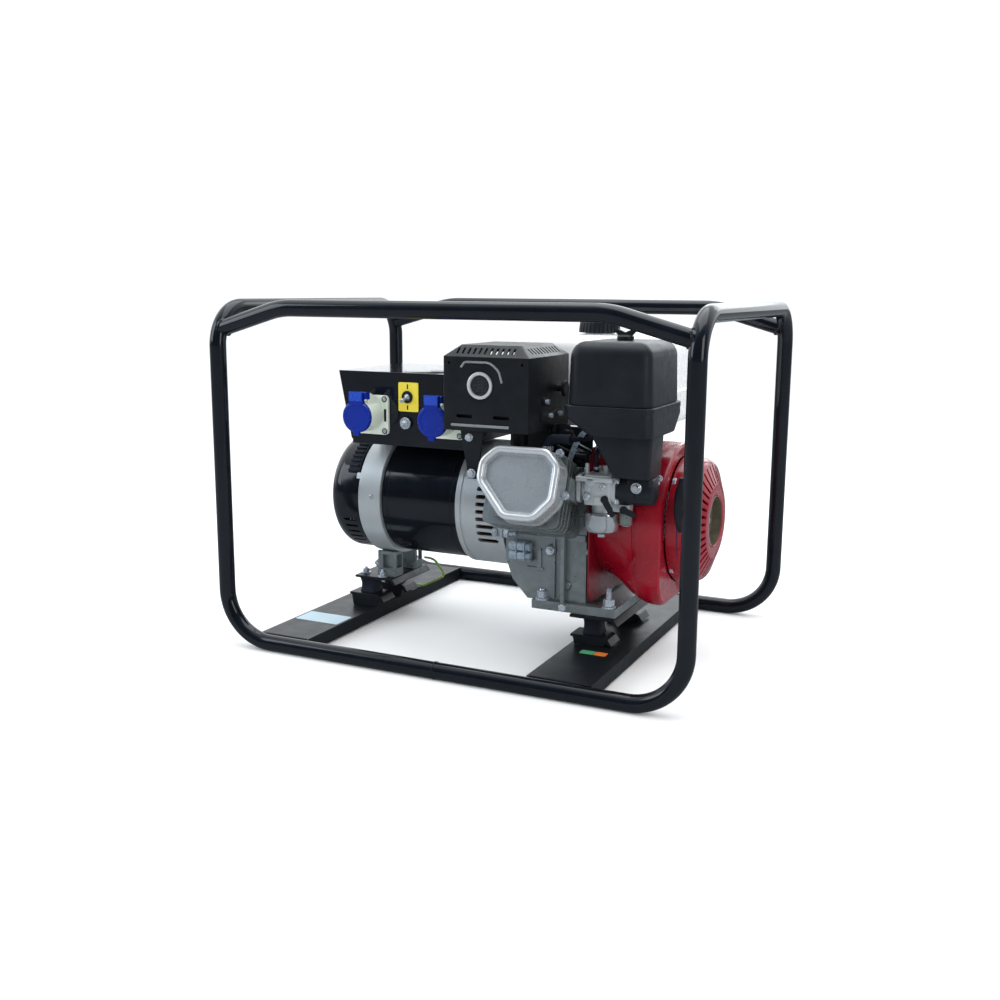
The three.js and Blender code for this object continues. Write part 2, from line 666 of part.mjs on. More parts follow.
// The tray under the cover slopes in at its left and at its back.
function airBase() {
  const [x0, x1] = AIR_X;
  const [y0, y1] = AIR_Y;
  const [low, knee, high] = [AIR_FLOOR, AIR_FLOOR + 26, AIR_JOINT - GAP];
  const tray = (inset, floor, top) => {
    const left = outline([
      [x0 + 38 + inset, floor], [x1 - inset, floor], [x1 - inset, top],
      [x0 + inset, top], [x0 + inset, knee + inset],
    ]);
    const back = outline([
      [y0 + inset, floor], [y1 - 30 - inset, floor], [y1 - inset, knee + inset],
      [y1 - inset, top], [y0 + inset, top],
    ]);
    const plan = roundedRectangle([x0 + inset, x1 - inset], [y0 + inset, y1 - inset], 18 - inset);
    const slopes = solid(alongY(left, AIR_Y)).intersect(solid(alongX(back, AIR_X)));
    return slopes.intersect(solid(alongZ(plan, [low, top], 0, 2)));
  };
  return geometryOf(tray(0, low, high).subtract(tray(3, low + 3, high + 10)));
}

function airCover() {
  const [x, y] = [[AIR_X[0] + 3, AIR_X[1] - 3], [AIR_Y[0] + 3, AIR_Y[1] - 3]];
  const outer = alongZ(roundedRectangle(x, y, 22), [AIR_JOINT - 20, 499], 14, 2);
  const room = roundedRectangle([x[0] + 3, x[1] - 3], [y[0] + 3, y[1] - 3], 19);
  const hollow = alongZ(room, [AIR_JOINT - 40, 496], 12, 1);
  return cut(outer, hollow, box([0, 400], [-300, 0], [300, AIR_JOINT]));
}

add('air_cleaner_duct', alongY(outline([
  [236, 306.4], [290, 306.4], [293, AIR_FLOOR - GAP], [200, AIR_FLOOR - GAP],
]), [-172, -112]), CHARCOAL);
add('air_cleaner_base', airBase(), CHARCOAL);
add('air_cleaner_cover', airCover(), CHARCOAL);
add('filter_element', cut(
  alongZ(roundedRectangle([208, 280], [-165, -73], 16), [AIR_FLOOR + 3.4, 480], 0, 1),
  alongZ(roundedRectangle([226, 262], [-147, -91], 8), [AIR_FLOOR, 470], 0, 1),
), FOAM);
add('air_cleaner_knob', joined(
  cylinderZ(13, [499.3, 507], ...AIR_CENTRE, 12),
  box([AIR_CENTRE[0] - 18, AIR_CENTRE[0] + 18], [AIR_CENTRE[1] - 2.5, AIR_CENTRE[1] + 2.5], [503, 515]),
), CHARCOAL);

// ---------------------------------------------------------------- exhaust
const MUFFLER_X = [-20, 118];
const OUTLET = [40, 432];

// A box whose four upper edges are chamfered wide.
function shieldBody(inset, y) {
  const [low, eaves, top, run] = [365 + inset, 473.5 - inset * 0.4, 490 - inset, 20 - inset * 0.4];
  const hipped = (a, b) => outline([[a, low], [b, low], [b, eaves], [b - run, top], [a + run, top], [a, eaves]]);
  const [x0, x1] = [MUFFLER_X[0] + inset, MUFFLER_X[1] - inset];
  const lengthways = solid(alongX(hipped(...y), [x0, x1]));
  return lengthways.intersect(solid(alongY(hipped(x0, x1), y)));
}

function mufflerShield() {
  const [x0, x1] = MUFFLER_X;
  const skin = 2.5;
  const back = box([x0 + skin, x1 - skin], [-60, -40], [365 + skin, 473]);
  const closed = shieldBody(0, [-205, -50]).subtract(shieldBody(skin, [-205 + skin, -50 - skin]));
  const shell = cut(geometryOf(closed), back);
  const openings = [cylinderY(24, [-210, -198], ...OUTLET, 20), cylinderZ(20, [360, 370], 75, -140, 16)];
  for (let i = 0; i < 11; i++) {
    const x = x0 + 22 + i * 9;
    openings.push(box([x, x + 3.6], [-200, -190], [470, 500]));
  }
  for (let i = 0; i < 10; i++) {
    const y = -178 + i * 11;
    openings.push(box([x1 - 15, x1 - 5], [y, y + 4], [470, 500]));
  }
  for (const x of [2, 62]) openings.push(box([x, x + 26], [-210, -198], [384, 389]));
  return cut(shell, ...openings);
}

add('muffler', cut(
  joined(
    alongY(roundedRectangle([-12, 110], [376, 470], 18), [-194, -62], 8, 2),
    cylinderY(19, [-203, -190], ...OUTLET, 16),
    cylinderZ(13, [338.5, 382], 75, -140, 16),
  ),
  cylinderY(15, [-210, -185], ...OUTLET, 16),
), STEEL_BLACK);
add('muffler_shield', mufflerShield(), STEEL_BLACK);
add('muffler_stay', alongY(outline([[6, 364.7], [44, 364.7], [34, 293], [20, 293]]), [-200, -196]), STEEL_BLACK);

// ---------------------------------------------------------------- control box
const faceFrame = new THREE.Group();
faceFrame.position.set(0, FACE_Y, 0);
faceFrame.rotation.x = 90 * RAD;
generator.add(faceFrame);

function controlBox() {
  const w = BOX_WALL;
  const [low, high] = BOX_LEFT;
  const apron = 7;
  const skin = outline([[low, BOX_FLOOR], [BOX_RIGHT, BOX_FLOOR], [BOX_RIGHT, BOX_TOP], [high, BOX_TOP]]);
  const room = outline([
    [low + w, BOX_FLOOR + w], [BOX_RIGHT - w, BOX_FLOOR + w], [BOX_RIGHT - w, BOX_TOP - w], [high + w, BOX_TOP - w],
  ]);
  const shell = joined(
    alongY(skin, [FACE_Y, BOX_BACK]),
    box([low + 2, BOX_RIGHT], [FACE_Y, FACE_Y + w], [BOX_FLOOR - apron, BOX_FLOOR + 1]),
  );
  const holes = SOCKET_X.map((x) => box([x - 24, x + 24], [FACE_Y - 4, FACE_Y + 4], [LID_Z - 24, LID_Z + 24]));
  holes.push(cylinderY(6.5, [FACE_Y - 4, FACE_Y + 4], ...TOGGLE, 12));
  return cut(shell, alongY(room, [FACE_Y + w, BOX_BACK - w]), ...holes);
}

// Flanged outlet. Its sprung lid hangs between two ears of the collar.
function socketBody(x) {
  const plate = roundedRectangle([x - 33, x + 33], [LID_Z - 31.5, LID_Z + 31.5], 8);
  const flange = alongY(plate, [FACE_Y - 6, FACE_Y - GAP], 0, 1);
  const collar = cylinderY(LID_R, [LID_Y + GAP, FACE_Y - 1], x, LID_Z, 24);
  const back = box([x - 23, x + 23], [FACE_Y - 1, FACE_Y + 28], [LID_Z - 23, LID_Z + 23]);
  const [y, z] = HINGE;
  const profile = outline([
    [y + 34, z - 18], [y + 34, z - 6], [y + 7, z + 6], [y - 6, z + 6], [y - 6, z - 3.5], [y + 4, z - 3.5],
    [y + 4, z - 18],
  ]);
  const ears = [[-15.5, -12.4], [12.4, 15.5]].map(([a, b]) => alongX(profile, [x + a, x + b]));
  const pin = cylinderX(2.5, [x - 15, x + 15], ...HINGE, 8);
  return cut(joined(flange, collar, back, ...ears, pin), cylinderY(21, [LID_Y - 4, LID_Y + 21], x, LID_Z, 16));
}

function socketLid(x) {
  const disc = cylinderY(LID_R, [LID_Y - 8.5, LID_Y], x, LID_Z, 24);
  const neck = box([x - 12, x + 12], [LID_Y - 8.5, LID_Y - 0.5], [LID_Z + 20, HINGE[1] + 7]);
  const knuckle = cylinderX(6, [x - 12, x + 12], ...HINGE, 12);
  const tab = box([x - 6, x + 6], [LID_Y - 8.5, LID_Y - 2], [LID_Z - 29.5, LID_Z - 24]);
  return cut(joined(disc, neck, knuckle, tab), cylinderX(2.5 + GAP, [x - 13, x + 13], ...HINGE, 8));
}

add('control_box', controlBox(), BLACK_PAINT);
for (const [name, x] of [['left', SOCKET_X[0]], ['right', SOCKET_X[1]]]) {
  add(`socket_${name}`, socketBody(x), SOCKET_GREY);
  add(`socket_lid_${name}`, socketLid(x), BLUE);
}
add('switch_plate', cut(
  alongY(roundedRectangle([-139.6, -103.6], [379, 425], 2), [FACE_Y - 2, FACE_Y - GAP], 0, 1),
  cylinderY(6.5, [FACE_Y - 4, FACE_Y + 4], ...TOGGLE, 12),
), YELLOW);
add('toggle_lever', joined(
  new THREE.SphereGeometry(5.5, 12, 8),
  cylinderZ(2.6, [0, 20], 0, 0, 10, 3.6),
).rotateX(14 * RAD).translate(TOGGLE[0], TOGGLE[1], 2.6), STEEL, faceFrame);
add('earth_terminal', joined(
  cylinderY(9, [FACE_Y - 7, FACE_Y - GAP], -126, 360.6, 6),
  cylinderY(4, [FACE_Y - 14, FACE_Y - 6], -126, 360.6, 10),
), STEEL);
add('earth_wire', tube(new BentPath([
  [-190.6, 40, 98], [-172, 40, 98], [-168, 78, 58], [-226, 96, 28.2], [-240, 100, 28.2],
], [9, 16, 12], 30), 2.5, 8), YELLOW);

export default generator;
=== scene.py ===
"""The looks of a portable petrol generator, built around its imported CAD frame.

Shapes are worked out in millimetres and written to Blender in metres.
"""

import json
import math

import bmesh
import bpy
from mathutils import Matrix, Vector


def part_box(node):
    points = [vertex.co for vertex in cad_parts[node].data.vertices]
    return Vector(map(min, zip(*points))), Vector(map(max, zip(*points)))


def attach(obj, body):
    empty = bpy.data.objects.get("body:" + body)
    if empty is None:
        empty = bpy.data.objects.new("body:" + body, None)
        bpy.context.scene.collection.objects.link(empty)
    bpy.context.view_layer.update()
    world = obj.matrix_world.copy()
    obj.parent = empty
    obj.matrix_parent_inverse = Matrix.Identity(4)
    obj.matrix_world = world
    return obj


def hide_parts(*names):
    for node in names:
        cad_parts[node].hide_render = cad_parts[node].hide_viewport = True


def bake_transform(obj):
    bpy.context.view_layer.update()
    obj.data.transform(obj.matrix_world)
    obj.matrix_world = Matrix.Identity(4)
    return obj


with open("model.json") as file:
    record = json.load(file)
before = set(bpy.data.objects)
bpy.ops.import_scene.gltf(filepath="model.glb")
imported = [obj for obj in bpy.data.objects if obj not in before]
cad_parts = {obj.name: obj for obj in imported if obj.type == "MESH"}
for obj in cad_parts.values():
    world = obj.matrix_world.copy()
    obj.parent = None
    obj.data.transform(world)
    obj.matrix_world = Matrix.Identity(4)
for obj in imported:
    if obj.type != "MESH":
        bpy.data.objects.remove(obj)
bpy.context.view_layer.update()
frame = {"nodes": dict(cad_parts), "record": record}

MM = 0.001
X, Y, Z = Vector((1, 0, 0)), Vector((0, 1, 0)), Vector((0, 0, 1))


def span(node):
    """The ((x0, x1), (y0, y1), (z0, z1)) that a CAD node fills, in millimetres."""
    low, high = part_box(node)
    return [(low[i] / MM, high[i] / MM) for i in range(3)]


def middle(pair):
    return (pair[0] + pair[1]) / 2


# ---------------------------------------------------------------- driving dimensions, from the frame
HOOP = span("frame_hoop_right")
TUBE_R = 12.7
POST_X = HOOP[0][1] - TUBE_R
POST_Y = HOOP[1][1] - TUBE_R
HOOP_TOP = 541
BOTTOM_BEND = 80
TOP_BEND = 60
RAIL_BREAK_X = 262
RAIL_END_Z = 507
RAIL_BEND = 150

STATOR = span("stator_barrel")
BARREL_R = STATOR[1][1]
AXIS_Z = middle(STATOR[2])

CYLINDER_X = 106
CYLINDER_Z = 212
CYLINDER_TILT = math.radians(22)
BLOCK_BOLTS = [(x, y) for y in (-88, 88) for x in (60, 104, 152)]
CARB_Y, CARB_Z = -140, 284
BOWL = (208, -135)
CUP = (246, -137)
THROTTLE = (-92, 322)
GRIP_Y = -112

BOX = span("control_box")
FACE_Y = -130
LID_Z = 371.5
HINGE = (-168.5, 404.5)
TOGGLE = (-123, 402)

# ---------------------------------------------------------------- camera
CAMERA_PLACE = (0.7702, -1.6703, 0.5707)
CAMERA_AZIMUTH = math.radians(25.40)
CAMERA_ELEVATION = math.radians(10.64)
CAMERA_ROLL = math.radians(0.34)
CAMERA_LENS = 40.44


def add_camera():
    right = Vector((math.cos(CAMERA_AZIMUTH), math.sin(CAMERA_AZIMUTH), 0))
    back = Vector((
        math.sin(CAMERA_AZIMUTH) * math.cos(CAMERA_ELEVATION),
        -math.cos(CAMERA_AZIMUTH) * math.cos(CAMERA_ELEVATION),
        math.sin(CAMERA_ELEVATION),
    ))
    up = back.cross(right)
    across = right * math.cos(CAMERA_ROLL) + up * math.sin(CAMERA_ROLL)
    upward = up * math.cos(CAMERA_ROLL) - right * math.sin(CAMERA_ROLL)
    camera = bpy.data.objects.new("camera", bpy.data.cameras.new("camera"))
    camera.matrix_world = Matrix((
        (across.x, upward.x, back.x, CAMERA_PLACE[0]),
        (across.y, upward.y, back.y, CAMERA_PLACE[1]),
        (across.z, upward.z, back.z, CAMERA_PLACE[2]),
        (0, 0, 0, 1),
    ))
    camera.data.lens = CAMERA_LENS
    camera.data.sensor_width = 36
    bpy.context.scene.collection.objects.link(camera)
    bpy.context.scene.camera = camera


# ---------------------------------------------------------------- studio
def add_node(tree, kind, inputs=None, operation=None):
    """A new shader node. An input given as a socket is linked to it, and any other value is set."""
    made = tree.nodes.new("ShaderNode" + kind)
    if operation:
        made.operation = operation
    for key, value in (inputs or {}).items():
        if isinstance(value, bpy.types.NodeSocket):
            tree.links.new(value, made.inputs[key])
        else:
            made.inputs[key].default_value = value
    return made


def area_light(name, place, target, size, power, colour):
    lamp = bpy.data.lights.new(name, "AREA")
    lamp.shape = "RECTANGLE"
    lamp.size, lamp.size_y = size
    lamp.energy = power
    lamp.color = colour
    holder = bpy.data.objects.new(name, lamp)
    aim_at = (Vector(place) - Vector(target)).to_track_quat("Z", "Y")
    holder.matrix_world = Matrix.Translation(place) @ aim_at.to_matrix().to_4x4()
    bpy.context.scene.collection.objects.link(holder)


# Shiny surfaces mirror a sky that is dark away from SKY_SIDE. The camera sees a plain white backdrop.
SKY_SIDE = (-0.35, 0.72, 0.60)
SKY_TONES = ((0.30, (0.005, 0.007, 0.011, 1)), (0.52, (0.035, 0.07, 0.13, 1)), (0.80, (0.93, 0.97, 1.0, 1)))
SKY_STRENGTH = 1.5
BACKDROP_STRENGTH = 1.09


def add_studio():
    area_light("top_softbox", (0.1, 0.1, 2.3), (0, 0, 0.2), (2.4, 1.8), 30, (0.93, 0.97, 1.0))
    area_light("left_softbox", (-2.2, -1.6, 1.5), (0, 0, 0.25), (1.2, 1.6), 22, (0.86, 0.93, 1.0))
    area_light("right_softbox", (2.3, -1.0, 1.2), (0, 0, 0.3), (0.9, 1.5), 14, (1.0, 0.98, 0.95))
    area_light("back_softbox", (0.3, 2.4, 1.6), (0, 0, 0.3), (2.2, 1.2), 16, (0.9, 0.95, 1.0))
    world = bpy.data.worlds.new("studio")
    bpy.context.scene.world = world
    world.use_nodes = True
    tree = world.node_tree
    tree.nodes.clear()
    seen = add_node(tree, "Background", {"Color": (1, 1, 1, 1), "Strength": BACKDROP_STRENGTH})
    place = add_node(tree, "TexCoord").outputs["Generated"]
    facing = add_node(tree, "VectorMath", {0: place, 1: SKY_SIDE}, "DOT_PRODUCT").outputs["Value"]
    half = add_node(tree, "Math", {0: facing, 1: 0.5, 2: 0.5}, "MULTIPLY_ADD").outputs[0]
    ramp = add_node(tree, "ValToRGB", {0: half})
    ramp.color_ramp.elements.new(0.5)
    for element, (position, colour) in zip(ramp.color_ramp.elements, SKY_TONES):
        element.position = position
        element.color = colour
    room = add_node(tree, "Background", {"Color": ramp.outputs[0], "Strength": SKY_STRENGTH})
    glossy = add_node(tree, "LightPath").outputs["Is Glossy Ray"]
    mix = add_node(tree, "MixShader", {0: glossy, 1: seen.outputs[0], 2: room.outputs[0]})
    add_node(tree, "OutputWorld", {0: mix.outputs[0]})
    bpy.context.scene.view_settings.view_transform = "Standard"

    floor_mesh = bpy.data.meshes.new("floor")
    reach = 40
    corners = [(-reach, -reach, 0), (reach, -reach, 0), (reach, reach, 0), (-reach, reach, 0)]
    floor_mesh.from_pydata(corners, [], [(0, 1, 2, 3)])
    floor = bpy.data.objects.new("floor", floor_mesh)
    finish = surface("floor", (0.93, 0.94, 0.95), (0.92, 0.93, 0.94), (0.6, 0.75))
    darken_reflection(finish)
    floor.data.materials.append(finish)
    bpy.context.scene.collection.objects.link(floor)


def darken_reflection(finish):
    """The floor is darker where shiny paint mirrors it, as under a flag in a studio."""
    tree = finish.node_tree
    glossy = add_node(tree, "LightPath").outputs["Is Glossy Ray"]
    shade = add_node(tree, "BsdfDiffuse", {"Color": (0.24, 0.26, 0.28, 1)}).outputs[0]
    mix = add_node(tree, "MixShader", {0: glossy, 1: tree.nodes["Principled BSDF"].outputs[0], 2: shade})
    tree.links.new(mix.outputs[0], tree.nodes["Material Output"].inputs["Surface"])


# ---------------------------------------------------------------- materials
def surface(name, colour, shade, roughness, metallic=0.0, mottle=25, grain=None, wear=None, **sockets):
    """A procedural finish: two tones mixed by a slow noise, uneven roughness, a fine grain in relief and worn
    edges. grain is (noise scale, height in mm), wear is (colour, strength)."""
    material = bpy.data.materials.new(name)
    material.use_nodes = True
    tree = material.node_tree
    shader = tree.nodes["Principled BSDF"]
    place = add_node(tree, "TexCoord").outputs["Object"]

    def noise(scale, detail):
        return add_node(tree, "TexNoise", {"Scale": scale, "Detail": detail, "Vector": place}).outputs["Fac"]

    def spread(value, low, high, start=0.3, end=0.7):
        limits = {"From Min": start, "From Max": end, "To Min": low, "To Max": high}
        return add_node(tree, "MapRange", {"Value": value, **limits}).outputs["Result"]

    def mixed(factor, first, second):
        made = add_node(tree, "Mix", {"Factor": factor})
        made.data_type = "RGBA"
        for name, value in (("A", first), ("B", second)):
            target = [s for s in made.inputs if s.name == name and s.type == "RGBA"][0]
            if isinstance(value, tuple):
                target.default_value = (*value, 1)
            else:
                tree.links.new(value, target)
        return [s for s in made.outputs if s.type == "RGBA"][0]

    tone = mixed(spread(noise(mottle, 4), 0, 1), colour, shade)
    rough = spread(noise(mottle * 3.1, 6), *roughness)
    if wear:
        edges = add_node(tree, "NewGeometry").outputs["Pointiness"]
        patchy = spread(noise(mottle * 6, 5), 0, wear[1], 0.42, 0.62)
        worn = add_node(tree, "Math", {0: spread(edges, 0, 1, 0.52, 0.6), 1: patchy}, "MULTIPLY")
        tone = mixed(worn.outputs[0], tone, wear[0])
    tree.links.new(tone, shader.inputs["Base Color"])
    tree.links.new(rough, shader.inputs["Roughness"])
    shader.inputs["Metallic"].default_value = metallic
    if grain:
        scale, depth = grain
        bump = add_node(tree, "Bump", {"Distance": depth * MM, "Strength": 1, "Height": noise(scale, 3)})
        tree.links.new(bump.outputs["Normal"], shader.inputs["Normal"])
    for socket, value in sockets.items():
        shader.inputs[socket.replace("_", " ")].default_value = value
    return material


GLOSS = {"Coat_Weight": 0.6, "Coat_Roughness": 0.05, "Coat_IOR": 1.35}
DULL = {"Specular_IOR_Level": 0.22}
PAINT = {
    "black_paint": surface("black_enamel", (0.0035, 0.0045, 0.007), (0.005, 0.0065, 0.010), (0.08, 0.15),
                           grain=(120, 0.01), Specular_IOR_Level=0.4),
    "black_steel": surface("satin_black", (0.006, 0.007, 0.009), (0.009, 0.011, 0.014), (0.28, 0.40),
                           grain=(900, 0.015), **DULL),
    "rubber": surface("moulded_rubber", (0.006, 0.009, 0.018), (0.010, 0.014, 0.026), (0.50, 0.70),
                      grain=(1200, 0.04), **DULL),
    "cast_aluminium": surface("cast_aluminium", (0.50, 0.54, 0.56), (0.45, 0.49, 0.51), (0.30, 0.44), 0.6,
                              mottle=14, grain=(1500, 0.04), wear=((0.68, 0.71, 0.73), 0.25)),
    "zinc_steel": surface("zinc_plate", (0.58, 0.64, 0.70), (0.42, 0.48, 0.56), (0.18, 0.32), 0.65,
                          mottle=60, grain=(2500, 0.01)),
    "copper_iron": surface("varnished_windings", (0.36, 0.15, 0.06), (0.20, 0.09, 0.04), (0.3, 0.5), 0.6,
                           mottle=60, grain=(700, 0.2)),
    "red_paint": surface("red_enamel", (0.225, 0.002, 0.011), (0.19, 0.0018, 0.009), (0.20, 0.30),
                         grain=(140, 0.003), Specular_IOR_Level=0.35, **GLOSS),
    "white_paint": surface("white_enamel", (0.86, 0.87, 0.88), (0.83, 0.845, 0.86), (0.2, 0.32),
                           grain=(140, 0.003), **GLOSS),
    "charcoal_plastic": surface("charcoal_plastic", (0.0075, 0.0095, 0.013), (0.011, 0.0135, 0.018),
                                (0.34, 0.46), grain=(1400, 0.04), **DULL),
    "blue_plastic": surface("blue_plastic", (0.0012, 0.018, 0.24), (0.001, 0.013, 0.19), (0.2, 0.30),
                            mottle=12, Specular_IOR_Level=0.3),
    "socket_plastic": surface("socket_plastic", (0.60, 0.66, 0.58), (0.54, 0.60, 0.53), (0.36, 0.5),
                              grain=(1300, 0.02)),
    "yellow_plastic": surface("yellow_plastic", (0.78, 0.66, 0.05), (0.70, 0.56, 0.03), (0.36, 0.5),
                              grain=(1500, 0.01)),
    "filter_foam": surface("filter_foam", (0.12, 0.10, 0.08), (0.07, 0.06, 0.05), (0.8, 0.95),
                           grain=(900, 0.8)),
}
CHANNEL_BLACK = surface("scuffed_black", (0.006, 0.0075, 0.010), (0.009, 0.011, 0.014), (0.30, 0.40),
                        mottle=12, grain=(500, 0.01), **DULL)
MACHINED = surface("machined_aluminium", (0.55, 0.58, 0.60), (0.47, 0.50, 0.53), (0.14, 0.24), 0.85,
                   mottle=60, grain=(3000, 0.01))
PRESSED_SILVER = surface("pressed_silver", (0.37, 0.40, 0.42), (0.36, 0.39, 0.41), (0.25, 0.30), 0.6,
                         mottle=14)
# A brighter copy of the pressed silver: a painted highlight along the valve cover's rim.
RIM_PAINTED_HIGHLIGHT = surface("rim_painted_highlight", (0.64, 0.67, 0.70), (0.62, 0.65, 0.68), (0.22, 0.27), 0.6, mottle=14)
CASE_ALUMINIUM = surface("case_aluminium", (0.24, 0.272, 0.285), (0.21, 0.24, 0.25), (0.24, 0.36), 0.7,
                         mottle=12, grain=(1300, 0.03), wear=((0.56, 0.59, 0.61), 0.2))
MUFFLER_RING = surface("heat_grey_steel", (0.62, 0.64, 0.66), (0.52, 0.54, 0.55), (0.3, 0.45), 0.5, mottle=70,
                       grain=(1800, 0.03))
# A grey copy of the black: a painted highlight along the heat shield's brow and ledge ribs.
RIB_PAINTED_HIGHLIGHT = surface("black_painted_highlight", (0.28, 0.30, 0.32), (0.20, 0.22, 0.235), (0.24, 0.34), 0.4, mottle=18)
SCREEN = surface("sooty_screen", (0.085, 0.09, 0.095), (0.055, 0.06, 0.065), (0.35, 0.5), 0.5, mottle=80)
# A lighter copy of the lid's blue plastic: a painted highlight on the hinge block.
HINGE_PAINTED_HIGHLIGHT = surface("blue_painted_highlight", (0.004, 0.050, 0.42), (0.003, 0.040, 0.36), (0.22, 0.32), mottle=12)
SEDIMENT = surface("sediment_cup", (0.20, 0.24, 0.22), (0.14, 0.17, 0.16), (0.24, 0.36), 0.6, mottle=60,
                   grain=(1800, 0.02))
# An olive colour, darkened as painted shade for the starter recess.
OLIVE_AND_PAINTED_SHADE = surface("olive_and_painted_shade", (0.11, 0.097, 0.058), (0.07, 0.062, 0.04), (0.4, 0.55), 0.3, mottle=60,
                grain=(1200, 0.02))
PALE_STEEL = surface("pale_blue_steel", (0.42, 0.52, 0.60), (0.34, 0.43, 0.51), (0.24, 0.36), 0.6, mottle=60,
                     grain=(1800, 0.01))
LABEL_BLUE = surface("plain_label_blue", (0.50, 0.66, 0.74), (0.44, 0.60, 0.70), (0.4, 0.5), grain=(600, 0.01))
LABEL_NAVY = surface("plain_label_navy", (0.008, 0.014, 0.045), (0.006, 0.010, 0.035), (0.25, 0.35),
                     grain=(600, 0.01), **DULL)
LABEL_GREEN = surface("plain_label_green", (0.10, 0.42, 0.20), (0.08, 0.36, 0.18), (0.4, 0.5),
                      grain=(600, 0.01))
LABEL_ORANGE = surface("plain_label_orange", (0.80, 0.22, 0.03), (0.72, 0.18, 0.03), (0.4, 0.5),
                       grain=(600, 0.01))
# A darker copy of the red enamel: painted shade on the shroud's side plate and its embossing.
RED_PAINTED_SHADE = surface("red_enamel_painted_shade", (0.15, 0.003, 0.010), (0.12, 0.002, 0.008), (0.25, 0.36),
                   grain=(140, 0.01), Specular_IOR_Level=0.35)
ROPE = surface("starter_rope", (0.55, 0.56, 0.58), (0.12, 0.12, 0.13), (0.7, 0.9), mottle=900,
               grain=(1600, 0.3))
YELLOW_GREEN = surface("earth_insulation", (0.34, 0.38, 0.04), (0.04, 0.20, 0.04), (0.35, 0.5), mottle=70,
                       grain=(1200, 0.01))


# ---------------------------------------------------------------- shapes
class Shape:
    """Points in millimetres and the faces between them."""

    def __init__(self, points=(), faces=()):
        self.points = [Vector(p) for p in points]
        self.faces = [list(f) for f in faces]

    def __add__(self, other):
        count = len(self.points)
        return Shape(self.points + other.points, self.faces + [[i + count for i in f] for f in other.faces])

    def moved(self, matrix):
        return Shape([matrix @ p for p in self.points], self.faces)


def frange(low, high, step):
    """Evenly spread numbers from low to high, about a step apart."""
    count = max(1, round(abs(high - low) / step))
    return [low + (high - low) * k / count for k in range(count + 1)]


def together(shapes):
    total = Shape()
    for shape in shapes:
        total = total + shape
    return total


def skin(loops, closed=False):
    """A skin through rings of equally many points. Its two ends are capped unless it closes on itself."""
    count, size = len(loops), len(loops[0])
    faces = []
    for i in range(count if closed else count - 1):
        j = (i + 1) % count
        for k in range(size):
            m = (k + 1) % size
            faces.append([i * size + k, i * size + m, j * size + m, j * size + k])
    if not closed:
        faces.append(list(range(size))[::-1])
        faces.append([(count - 1) * size + k for k in range(size)])
    return Shape([p for loop in loops for p in loop], faces)


def aim(origin, direction, roll=0.0):
    """The matrix that puts a shape drawn along Z at a place and turns it to a direction."""
    turn = Z.rotation_difference(Vector(direction)).to_matrix().to_4x4()
    return Matrix.Translation(Vector(origin)) @ turn @ Matrix.Rotation(roll, 4, "Z")


def circle(radius, height, count):
    step = 2 * math.pi / count
    return [Vector((radius * math.cos(k * step), radius * math.sin(k * step), height)) for k in range(count)]


def lathe(profile, origin=(0, 0, 0), direction=Z, count=96):
    """(height, radius) points turned about an axis. A profile that starts off the axis closes on itself."""
    loops = [circle(r, h, count) for h, r in profile if r > 0]
    return skin(loops, closed=profile[0][1] > 0).moved(aim(origin, direction))


def on_shaft(profile, count=128):
    """A profile of (x, radius) turned about the crankshaft."""
    return lathe(profile, (0, 0, AXIS_Z), X, count)


def shaft_strip(corners, start, end, step):
    """A strip bent round the crankshaft: a section of (x, radius) corners, swept from one angle to another."""
    band = []
    for angle in frange(start, end, step):
        y, z = polar(1, angle)
        band.append([(x, y * reach, AXIS_Z + z * reach) for x, reach in corners])
    return skin(band)


def rod(radius, start, end, count=32, edge=0.0):
    """A round bar between two points, with its rims rounded off by edge."""
    start, end = Vector(start), Vector(end)
    length = (end - start).length
    profile = [(0, 0), (0, radius - edge), (edge, radius), (length - edge, radius), (length, radius - edge)]
    if not edge:
        profile = [(0, 0), (0, radius), (length, radius)]
    return lathe(profile, start, end - start, count)


def arc(centre, radius, start, end, steps=6):
    """Points of a circle from one angle to another, in degrees."""
    angles = [math.radians(start + (end - start) * k / steps) for k in range(steps + 1)]
    return [(centre[0] + radius * math.cos(a), centre[1] + radius * math.sin(a)) for a in angles]


def polar(radius, angle):
    """The two coordinates of a point on a circle, with the angle in degrees."""
    return radius * math.cos(math.radians(angle)), radius * math.sin(math.radians(angle))


def rounded(corners, radius, steps=5):
    """A closed outline with every corner rounded, always with steps + 1 points at a corner."""
    points = []
    count = len(corners)
    for i, corner in enumerate(corners):
        here = Vector(corner)
        back = Vector(corners[i - 1]) - here
        ahead = Vector(corners[(i + 1) % count]) - here
        turn = math.pi - back.angle(ahead)
        reach = min(radius * math.tan(turn / 2), back.length / 2, ahead.length / 2)
        r = reach / math.tan(turn / 2)
        bisector = (back.normalized() + ahead.normalized()).normalized()
        centre = here + bisector * (r / math.cos(turn / 2))
        start = here + back.normalized() * reach - centre
        sense = 1 if back.x * ahead.y - back.y * ahead.x < 0 else -1
        for k in range(steps + 1):
            a = sense * turn * k / steps
            x = start.x * math.cos(a) - start.y * math.sin(a)
            y = start.x * math.sin(a) + start.y * math.cos(a)
            points.append((centre.x + x, centre.y + y))
    return points


def rectangle(a, b, radius=0.0, steps=5):
    corners = [(a[0], b[0]), (a[1], b[0]), (a[1], b[1]), (a[0], b[1])]
    return rounded(corners, radius, steps) if radius else corners


def inset_rectangle(x, y, inset, radius=0.0, steps=5):
    """A rectangle from two (low, high) spans, with every side moved in by inset."""
    return rectangle((x[0] + inset, x[1] - inset), (y[0] + inset, y[1] - inset), radius, steps)


